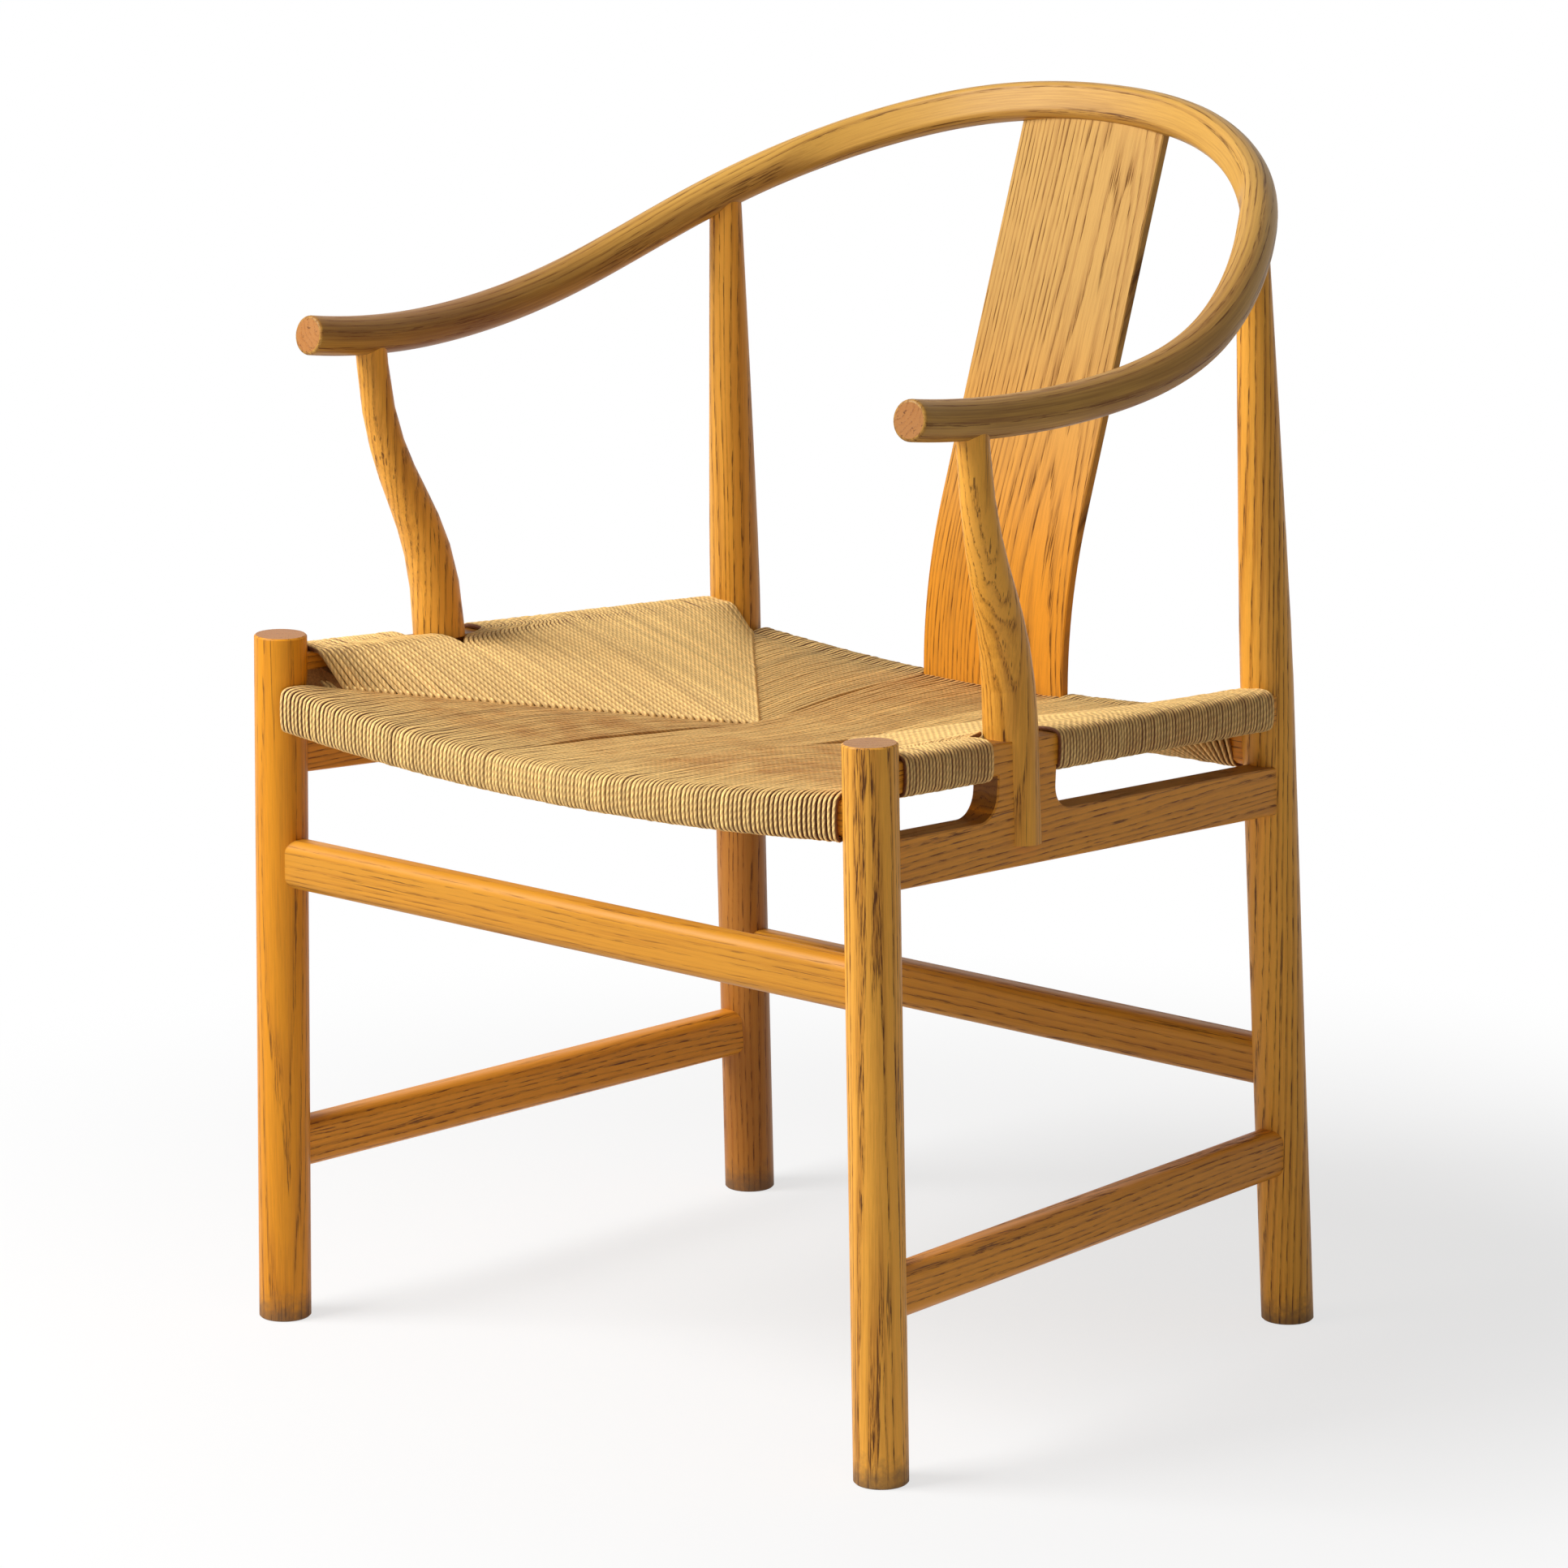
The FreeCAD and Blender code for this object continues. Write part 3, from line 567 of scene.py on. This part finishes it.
def field_paths(seam, wrap, over, puff, turn_in=None):
    """Cords that come up at a seam, cross their field, go round a bar and come back below.

    over lifts them at the seam, and puff in their field. turn_in is the y where they leave a
    side bar, if not straight across from it.
    """
    x, y, z = seam
    if turn_in is not None:
        first, last = wrap[0], wrap[-1]
        wrap = [(first[0] - 7.0, turn_in, first[2] - 0.6), *wrap, (last[0] - 7.0, turn_in, last[2] + 0.6)]
    on_bar, off_bar = wrap[0], wrap[-1]
    run_x, run_y = on_bar[0] - x, on_bar[1] - y
    length = np.sqrt(run_x**2 + run_y**2) + 0.01
    ahead_x, ahead_y = run_x / length, run_y / length
    swollen = puff * np.minimum(length / full_field, 1.0)
    start = (x, y, z + over)
    under = (x, y, z - layer_gap - over)
    return cut_corners(
        paths_through(
            (x - ahead_x * 2.6, y - ahead_y * 2.6, z + over - 3.2),
            (x - ahead_x * 1.2, y - ahead_y * 1.2, z + over + 0.2),
            start,
            between(start, on_bar, 0.30, swollen * 0.8),
            between(start, on_bar, 0.62, swollen),
            *wrap,
            between(off_bar, under, 0.4),
            between(off_bar, under, 0.97),
        )
    )


def side_cord_paths():
    """Cords round the left side bar: in front of the block, behind it, and of the back field."""
    k = np.arange(first_side_cord, field_cords)
    order = k - first_side_cord
    behind = order - cords_before_block
    y = np.where(behind < 0, wrap_start + wrap_step * order, block_end + block_step * behind)
    leave = y * 0.05 + (wrap_start + field_step * order) * 0.95
    front = field_paths(front_seam(k), round_bar(y), 2.2, 2.4, leave)
    seam = back_seam(np.arange(back_cords)[::-1])
    y = np.linspace(back_wrap_start, back_wrap_end, back_cords)
    back = field_paths(seam, round_bar(y), 2.2, 2.4, y * 0.8 + seam[1] * 0.2)
    return np.concatenate([front, back])


def front_cord_paths():
    seam = front_seam(np.arange(field_cords))
    return field_paths(seam, round_front_rail(seam[0]), 0.0, 3.4)


def back_cord_paths():
    x = np.linspace(209.0, 61.6, back_cords)
    return field_paths(back_seam(np.arange(back_cords)), round_back_rail(x), 0.0, 3.4)


def band_paths():
    """Cords of the middle, which stop in front of the splat and tuck in before the back rail."""
    share = np.linspace(-1.0, 1.0, band_cords)
    waist, back = share * 37.8, share * 57.6
    top = back_rail_top(back)
    return cut_corners(
        paths_through(
            (back, 406.2, top - 2.6),
            (back, 405.0, top + 0.4),
            (back, 397.0, top - 0.2),
            (share * 50.0, 330.0, 392.2),
            (waist, 225.0, 388.6),
            (share * 38.4, 110.0, 399.8),
            *round_front_rail(share * 39.9),
            (waist, 210.0, 381.5),
            (back, 392.0, 368.0),
            (back, 397.0, 370.0),
            (back, 397.4, 379.0),
        )
    )


def flipped(paths):
    return paths * np.array([-1.0, 1.0, 1.0])


def soil_along(paths, field):
    """Soil of each ring: most of it on the field's top, fading over the rail's front edge."""
    on_top = np.clip((paths[..., 1] - soil_start) / soil_rise, 0.0, 1.0) * (paths[..., 2] > lower_layer)
    return least_soil + field * on_top


def wrap_soil_and_shade(paths):
    """Soil and painted shade of each ring round the left side bar: most of it on the bar's outer face."""
    outside = np.clip((paths[..., 0] - bar_middle(paths[..., 1]) - 8.0) / 2.5, 0.0, 1.0)
    return least_soil + side_soil_and_shade * outside


def gap_shade_depth(paths, across):
    """How dark the painted shade in the gaps beside each ring is, before mirroring: darkest round the bars.
    """
    if across[0]:
        bar = np.minimum(np.abs(paths[..., 1] + 2.0) - 14.0, np.abs(paths[..., 1] - 411.0) - 10.0)
    else:
        bar = bar_middle(paths[..., 1]) - 11.0 - paths[..., 0]
    return least_gap_shade + bar_gap_shade * np.clip(1.0 - bar / gap_shade_fade, 0.0, 1.0)


def seat_piece(name, mesh):
    """Adds a mesh as a piece of the seat."""
    piece = bpy.data.objects.new(name, mesh)
    bpy.context.scene.collection.objects.link(piece)
    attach(piece, "root")
    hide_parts("seat_weave")


def wave(run, length, phase, height):
    return np.sin(run / length + phase) * height


def tube_faces(count, rings):
    """Faces round each of many cords, and after them the caps on their ends."""
    first = np.arange(count)[:, None, None] * rings * cord_sides
    ring = first + np.arange(rings - 1)[None, :, None] * cord_sides
    near = np.arange(cord_sides)
    after = (near + 1) % cord_sides
    corners = [ring + near, ring + after, ring + after + cord_sides, ring + near + cord_sides]
    quads = np.stack(corners, axis=-1).reshape(-1, 4)
    start_caps = first[:, 0] + near[::-1]
    end_caps = first[:, 0] + (rings - 1) * cord_sides + near
    return quads.tolist() + start_caps.tolist() + end_caps.tolist()


def cord_places(run):
    """Where each corner of the faces lies, round its cord and along it in plies."""
    count, rings = run.shape
    shape = (count, rings - 1, cord_sides, 4)
    near = np.arange(cord_sides)
    u = np.stack([near, near + 1, near + 1, near], axis=1) / cord_sides
    v = np.stack([run[:, :-1], run[:, :-1], run[:, 1:], run[:, 1:]], axis=-1)[:, :, None] / ply_turn
    body = np.stack([np.broadcast_to(u, shape), np.broadcast_to(v, shape)], axis=-1)
    caps = np.zeros(2 * 2 * count * cord_sides)
    return np.concatenate([body.reshape(-1), caps])


def weave_piece(name, paths, across, soil, gap, look):
    """One mesh of many cords. across is level and at right angles to them."""
    count, rings = paths.shape[:2]
    steps = np.linalg.norm(np.diff(paths, axis=1), axis=2)
    run = np.concatenate([np.zeros((count, 1)), np.cumsum(steps, axis=1)], axis=1)
    along = np.gradient(paths, axis=1)
    along /= np.linalg.norm(along, axis=2, keepdims=True)
    side = np.array(across) - along * (along @ np.array(across))[..., None]
    side /= np.linalg.norm(side, axis=2, keepdims=True)
    upper = np.cross(along, side)

    phase = rng.uniform(0, math.tau, (4, count, 1))
    sway = wave(run, 23.0, phase[0], 0.12) + wave(run, 9.0, phase[1], 0.08)
    rise = wave(run, 17.0, phase[2], 0.14) + wave(run, 6.5, phase[3], 0.08)
    centres = paths + side * sway[..., None] + upper * rise[..., None]
    radius = cord / 2 * (1 + rng.normal(0, 0.03, (count, 1)) + wave(run, 11.0, phase[1], 0.02))
    radius[:, [0, -1]] *= 0.35
    turn = np.arange(cord_sides) * math.tau / cord_sides
    spokes = side[:, :, None] * np.cos(turn)[:, None] + upper[:, :, None] * np.sin(turn)[:, None]
    points = centres[:, :, None] + spokes * radius[:, :, None, None]
    points = (points + (0.0, front_line, 0.0)) * mm

    mesh = bpy.data.meshes.new(name)
    mesh.from_pydata(points.reshape(-1, 3).tolist(), [], tube_faces(count, rings))
    mesh.polygons.foreach_set("use_smooth", np.ones(len(mesh.polygons), bool))
    mesh.uv_layers.new(name="cord").data.foreach_set("uv", cord_places(run))
    tone = rng.normal(0.5, 0.16, (count, 1)) + wave(run, 31.0, phase[0], 0.07)
    for label, values in (("tone", tone), ("soil", soil), ("gap", gap)):
        spread = np.broadcast_to(values[:, :, None], (count, rings, cord_sides)).reshape(-1)
        mesh.attributes.new(label, "FLOAT", "POINT").data.foreach_set("value", spread.clip(0, 1))
    mesh.materials.append(look)
    seat_piece(name, mesh)


def core_rows():
    """Rows of points across the sheet in the seat, from front to back."""
    rows = []
    for share in np.linspace(0.0, 1.0, core_rows_count):
        y = core_start + core_depth * share
        corner, run = (front_corner, front_run) if y < fields_meet else (back_corner, back_run)
        seam_share = min(max((y - corner[1]) / run[1], 0.0), 1.0)
        x, _, seam_height = along_seam(corner, run, seam_share)
        wing = bar_middle(y) - core_edge
        lip = bar_low(y) + core_edge
        middle = float(np.interp(y, core_middle_lines, core_middle_heights)) - core_drop
        low = seam_height - core_drop
        rows.append([(-wing, y, lip), (-x, y, low), (0.0, y, middle), (x, y, low), (wing, y, lip)])
    return rows


def core_shade_sheet():
    """Dark sheet between the two layers of cord, so that no light comes through; its colour is painted shade
    for the gaps between the cords.
    """
    rows = core_rows()
    width = len(rows[0])
    points = [point for row in rows for point in row]
    count = len(points)
    points += [(x, y, z - core_thickness) for x, y, z in points]
    faces = []
    for row in range(len(rows) - 1):
        for column in range(width - 1):
            a = row * width + column
            faces.append((a, a + 1, a + width + 1, a + width))
            faces.append(tuple(i + count for i in (a + width, a + width + 1, a + 1, a)))
    rim = list(range(width)) + [r * width + width - 1 for r in range(1, len(rows))]
    rim += list(range(count - 2, count - width - 1, -1)) + [r * width for r in range(len(rows) - 2, 0, -1)]
    for a, b in zip(rim, rim[1:] + rim[:1]):
        faces.append((b, a, a + count, b + count))
    mesh = bpy.data.meshes.new("seat_shade_core")
    mesh.from_pydata([(x * mm, (y + front_line) * mm, z * mm) for x, y, z in points], [], faces)
    s = new_shader("seat_shade_core")
    colour = s.mix(s.noise(s.place(), 700.0, 3.0), linear(cord_gap_shade), linear(soiled_straw))
    mesh.materials.append(s.surface(Base_Color=colour, Roughness=0.9))
    seat_piece("seat_shade_core", mesh)


def cord_material():
    """Twisted paper cord: plies with painted highlight and shade, a tone for each cord, soil, painted shade
    on its flanks, and fine fibres.
    """
    s = new_shader("paper_cord")
    place = s.place()
    around, plies, _ = s.parts(s.add("ShaderNodeUVMap", uv_map="cord").outputs[0])
    turns = s.math("SUBTRACT", s.math("MULTIPLY", around, 3.0), plies)
    ply = s.math("SINE", s.math("MULTIPLY", turns, math.tau))
    ply = s.math("MULTIPLY", s.math("ADD", ply, 1.0), 0.5)
    fibre = s.grain(place, (1700.0, 1700.0, 1700.0), 3.0, 0.6)
    mottle = s.noise(place, 420.0, 2.0, 0.5)
    cloud = s.noise(place, 34.0, 4.0, 0.62)
    grime = s.noise(place, 120.0, 3.0, 0.6)

    soil = s.attribute("soil")
    dark = s.math("MULTIPLY", s.step(cloud, 0.28, 0.74), s.math("MULTIPLY", soil, 0.8))
    dark = s.math("ADD", dark, s.math("MULTIPLY", soil, 0.35))
    dark = s.math("ADD", dark, s.centred(grime, 0.5, 0.5), clamp=True)
    colour = s.mix(dark, linear(straw), linear(soiled_straw))
    # The ply term paints highlight and shade along the twist of the plies; tone, fibres and mottle are the
    # cord's own.
    shade = s.ranged(s.attribute("tone"), 0.68, 0.40)
    for value, low, gain in ((ply, 0.80, 0.36), (fibre, 0.78, 0.46), (mottle, 0.70, 0.60)):
        shade = s.math("MULTIPLY", shade, s.ranged(value, low, gain))
    shade = s.add("ShaderNodeCombineXYZ", {0: shade, 1: shade, 2: shade}).outputs[0]
    colour = s.vector("MULTIPLY", colour, shade)
    # Painted shade on each cord's flanks, where it meets its neighbours
    flank_shade = s.math("ABSOLUTE", s.math("COSINE", s.math("MULTIPLY", around, math.tau)))
    flank_shade = s.math("MULTIPLY", s.step(flank_shade, 0.36, 0.84), s.attribute("gap"))
    colour = s.mix(flank_shade, colour, linear(cord_gap_shade))
    relief = s.math("ADD", ply, s.math("MULTIPLY", fibre, 0.3))
    return s.surface(Base_Color=colour, Roughness=0.74, Normal=s.bump(relief, 0.6))


def make_weave():
    look = cord_material()
    front = front_cord_paths()
    side = side_cord_paths()
    back = back_cord_paths()
    band = band_paths()
    level, deep = (1.0, 0.0, 0.0), (0.0, 1.0, 0.0)
    for name, paths, across, soil in (
        ("front_cords", front, level, soil_along(front, front_soil)),
        ("back_cords", back, level, np.full(back.shape[:2], back_soil)),
        ("side_cords", side, deep, wrap_soil_and_shade(side)),
    ):
        gap = gap_shade_depth(paths, across)
        weave_piece(name + "_left", paths, across, soil, gap, look)
        weave_piece(name + "_right", flipped(paths), across, soil, gap, look)
    gap = gap_shade_depth(band, level)
    weave_piece("band_cords", band, level, soil_along(band, band_soil), gap, look)
    core_shade_sheet()


# Bow, in millimetres, as one smooth sweep along the centre-line of its solid

bow_spread = 522.0
bow_depth = 485.0
bow_low = 637.5
bow_rise = 129.5
bow_setback = 32.0  # of the arms' ends from the front legs' axes
bow_front = front_line + bow_setback
bow_diameter = 25.5
bow_back_diameter = 26.0
bow_back_depth = 22.0  # across the flat in front
bow_back_corner = 4.0  # radius between the flat and the round
bow_end_radius = 2.0
bow_lean = math.atan2(106.743, 312.5)  # of the splat's upper part, which the flat follows
bow_rings = 241
bow_end_rings = 6
curve_points = 6001  # from which the rings' places are worked out
glance = 0.0005  # share of the bow's length to both sides that gives a ring its direction

# Shares of the half bow, from the arm's end: where the flat grows, and where grime fades
flat_start, flat_end = 0.60, 0.72
grime_start, grime_end = 0.22, 0.62


def bow_knots():
    """Points that the bow's centre-line passes through, from the left arm's end to the right one's."""
    shares = (
        (0.970, 0.000, 0.047),
        (1.000, 0.308, 0.000),
        (0.998, 0.543, 0.161),
        (0.868, 0.738, 0.492),
        (0.665, 0.877, 0.751),
        (0.346, 0.975, 0.946),
        (0.000, 1.000, 1.000),
    )
    left = np.array(shares) * (bow_spread / 2, bow_depth, bow_rise) + (0.0, bow_front, bow_low)
    right = left[-2::-1] * (-1.0, 1.0, 1.0)
    return np.concatenate([left, right])


def end_slope(times, points):
    """Slope at the first of four points of the curve through them."""
    slope = np.zeros(3)
    for i in range(4):
        others = [times[j] for j in range(4) if j != i]
        spread = np.prod([times[i] - t for t in others])
        parts = [np.prod([times[0] - t for t in others if t != skipped]) for skipped in others]
        slope += points[i] * sum(parts) / spread
    return slope


def knot_slopes(times, gaps, points):
    """Slopes at the points of the smooth curve through them."""
    last = len(points) - 1
    table = np.eye(last + 1)
    slopes = np.zeros((last + 1, 3))
    slopes[0] = end_slope(times[:4], points[:4])
    slopes[last] = -end_slope(times[last] - times[:-5:-1], points[:-5:-1])
    for i in range(1, last):
        before, after = gaps[i - 1], gaps[i]
        table[i, i - 1 : i + 2] = after, 2 * (before + after), before
        rates = after * (points[i] - points[i - 1]) / before + before * (points[i + 1] - points[i]) / after
        slopes[i] = 3 * rates
    return np.linalg.solve(table, slopes)


def smooth_line(points):
    """Many points of the smooth curve through the given ones, and the run of the curve to each."""
    gaps = np.linalg.norm(np.diff(points, axis=0), axis=1)
    times = np.concatenate([[0.0], np.cumsum(gaps)])
    slopes = knot_slopes(times, gaps, points)
    fine = np.linspace(0.0, times[-1], curve_points)
    piece = np.clip(np.searchsorted(times, fine, side="right") - 1, 0, len(points) - 2)
    u = ((fine - times[piece]) / gaps[piece])[:, None]
    gap = gaps[piece][:, None]
    curve = (2 * u**3 - 3 * u**2 + 1) * points[piece] + (u**3 - 2 * u**2 + u) * gap * slopes[piece]
    curve += (3 * u**2 - 2 * u**3) * points[piece + 1] + (u**3 - u**2) * gap * slopes[piece + 1]
    run = np.concatenate([[0.0], np.cumsum(np.linalg.norm(np.diff(curve, axis=0), axis=1))])
    return curve, run


def at_shares(curve, run, shares):
    """Points of a curve at shares of its length."""
    return np.stack([np.interp(shares * run[-1], run, curve[:, i]) for i in range(3)], axis=1)


def bow_outline(ramp, shrink):
    """Points round the bow: a circle that turns into a round with a flat in front."""
    radius = (bow_diameter + (bow_back_diameter - bow_diameter) * ramp) / 2 - shrink
    back_radius = bow_back_diameter / 2
    reach = bow_back_depth - back_radius
    offset = reach - bow_back_corner
    flat_half = math.sqrt((back_radius - bow_back_corner) ** 2 - offset**2)
    corner_turn = math.atan2(flat_half, offset)
    flat_turn = math.asin(flat_half / back_radius)

    # Each point's turn on the circle, and its place on the form with the flat
    face = [(share * flat_turn, reach, share * flat_half) for share in np.linspace(-1.0, 1.0, 9)]
    corner = []
    for share in (0.25, 0.5, 0.75, 1.0):
        bend = corner_turn * share
        u = offset + bow_back_corner * math.cos(bend)
        v = flat_half + bow_back_corner * math.sin(bend)
        corner.append((flat_turn + (corner_turn - flat_turn) * share, u, v))
    behind = []
    for turn in np.linspace(corner_turn, math.tau - corner_turn, 26)[1:-1]:
        behind.append((turn, radius * math.cos(turn), radius * math.sin(turn)))
    other_corner = [(-turn, u, -v) for turn, u, v in reversed(corner)]
    outline = np.array(face + corner + behind + other_corner)
    circle = np.stack([np.cos(outline[:, 0]), np.sin(outline[:, 0])], axis=1) * radius
    return circle * (1 - ramp) + outline[:, 1:] * ramp


def bow_places(length):
    """Shares of the bow's length where its rings are, and how much each ring shrinks."""
    rounding = np.linspace(0.0, math.pi / 2, bow_end_rings)
    inset = bow_end_radius * (1 - np.cos(rounding)) / length
    shrink = bow_end_radius * (1 - np.sin(rounding))
    first = bow_end_radius / length
    inner = np.linspace(first, 1 - first, bow_rings)[1:-1]
    places = np.concatenate([inset, inner, 1 - inset[::-1]])
    return places, np.concatenate([shrink, np.zeros(len(inner)), shrink[::-1]])


def bow_mesh():
    """The bow's mesh, with two end faces last, and for each point its place in the timber."""
    curve, run = smooth_line(bow_knots())
    length = run[-1]
    places, shrinks = bow_places(length)
    centres = at_shares(curve, run, places)
    ahead = at_shares(curve, run, np.clip(places + glance, 0, 1))
    behind = at_shares(curve, run, np.clip(places - glance, 0, 1))
    points, grain, grime = [], [], []
    for place, shrink, centre, along in zip(places, shrinks, centres, ahead - behind):
        along = Vector(along).normalized()
        inward = Vector((0, 0, 1)).cross(along).normalized()
        upward = along.cross(inward).normalized()
        share = 2 * min(place, 1 - place)
        ramp = min(max((share - flat_start) / (flat_end - flat_start), 0.0), 1.0)
        ramp = ramp * ramp * (3 - 2 * ramp)
        lean = bow_lean * ramp
        front = inward * math.cos(lean) + upward * math.sin(lean)
        upright = upward * math.cos(lean) - inward * math.sin(lean)
        soil = min(max((grime_end - share) / (grime_end - grime_start), 0.0), 1.0)
        for u, v in bow_outline(ramp, shrink):
            points.append((Vector(centre) + front * u + upright * v) * mm)
            grain.append((u * mm, v * mm, place * length * mm))
            grime.append(soil)

    around = len(points) // len(places)
    last = (len(places) - 1) * around
    faces = []
    for first in range(0, last, around):
        for a in range(around):
            b = (a + 1) % around
            faces.append((first + a, first + a + around, first + b + around, first + b))
    faces.append(tuple(range(around)))
    faces.append(tuple(range(last + around - 1, last - 1, -1)))
    mesh = bpy.data.meshes.new("bow")
    mesh.from_pydata(points, [], faces)
    mesh.polygons.foreach_set("use_smooth", np.ones(len(faces), bool))
    mesh.attributes.new("grain", "FLOAT_VECTOR", "POINT").data.foreach_set("vector", np.array(grain).ravel())
    mesh.attributes.new("grime", "FLOAT", "POINT").data.foreach_set("value", np.array(grime))
    return mesh


def make_bow():
    mesh = bow_mesh()
    body = wood(
        "wood_bow",
        bow_honey,
        bow_dark,
        upright_turn,
        (0.06, -0.02),
        17.3,
        lines=0.8,
        gloss=0.2,
        bent=True,
        grimed=True,
    )
    end = wood(
        "wood_bow_end",
        bow_end,
        honey_dark,
        upright_turn,
        (0.02, 0.015),
        5.0,
        lines=0.5,
        bent=True,
    )
    mesh.materials.append(body)
    mesh.materials.append(end)
    for face in mesh.polygons[-2:]:
        face.material_index = 1
        face.use_smooth = False
    piece = bpy.data.objects.new("bow", mesh)
    bpy.context.scene.collection.objects.link(piece)
    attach(piece, "root")
    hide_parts("arm_bow")


# Floor, light and camera


def make_floor():
    """White floor that takes soft shadows near the chair and fades to plain white."""
    half = floor_size / 2
    mesh = bpy.data.meshes.new("floor")
    corners = [(-half, -half, 0.0), (half, -half, 0.0), (half, half, 0.0), (-half, half, 0.0)]
    mesh.from_pydata(corners, [], [(0, 1, 2, 3)])
    floor = bpy.data.objects.new("floor", mesh)
    bpy.context.scene.collection.objects.link(floor)
    s = new_shader("floor_white")
    fade = s.step(s.vector("LENGTH", s.place()), *floor_fade)
    fade = s.ranged(fade, floor_white_share, 1.0 - floor_white_share)
    fade = s.math("MULTIPLY", fade, s.seen())
    matt = s.add("ShaderNodeBsdfDiffuse", {"Color": floor_grey})
    white = s.add("ShaderNodeEmission", {"Color": plain_white, "Strength": 1.0})
    s.output(s.add("ShaderNodeMixShader", {0: fade, 1: matt.outputs[0], 2: white.outputs[0]}))
    mesh.materials.append(s.owner)


def make_world():
    """Even light from all round, which the camera sees as plain white."""
    world = bpy.data.worlds.new("studio")
    bpy.context.scene.world = world
    s = Shader(world)
    inputs = {"Value": s.seen(), "To Min": world_strength, "To Max": 1.0}
    strength = s.add("ShaderNodeMapRange", inputs).outputs[0]
    background = s.add("ShaderNodeBackground", {"Color": plain_white, "Strength": strength})
    s.output(background, "ShaderNodeOutputWorld")


def make_lamp(name, direction, distance, size, power):
    lamp = bpy.data.lights.new(name, "AREA")
    lamp.size = size
    lamp.energy = power
    holder = bpy.data.objects.new(name, lamp)
    place = direction.normalized() * distance
    holder.location = camera_target + place
    holder.rotation_euler = place.to_track_quat("Z", "Y").to_euler()
    bpy.context.scene.collection.objects.link(holder)


def make_camera():
    az, el = camera_azimuth, camera_height_angle
    back = Vector((math.sin(az) * math.cos(el), -math.cos(az) * math.cos(el), math.sin(el)))
    right = Vector((math.cos(az), math.sin(az), 0.0))
    over = back.cross(right)
    turn = Matrix((right, over, back)).transposed() @ Matrix.Rotation(camera_roll, 3, "Z")
    camera = bpy.data.cameras.new("camera")
    camera.sensor_width = sensor_width
    camera.sensor_fit = "HORIZONTAL"
    camera.lens = photo_focal_length / photo_width * sensor_width
    camera.clip_end = camera_reach
    holder = bpy.data.objects.new("camera", camera)
    holder.matrix_world = Matrix.Translation(camera_target + back * camera_distance) @ turn.to_4x4()
    bpy.context.scene.collection.objects.link(holder)
    bpy.context.scene.camera = holder


bpy.context.scene.view_settings.view_transform = "Standard"
make_floor()
make_world()
make_lamp("key", key_direction, key_distance, key_size, key_power)
make_lamp("fill", fill_direction, fill_distance, fill_size, fill_power)
make_camera()
dress_wood()
make_bow()
make_weave()
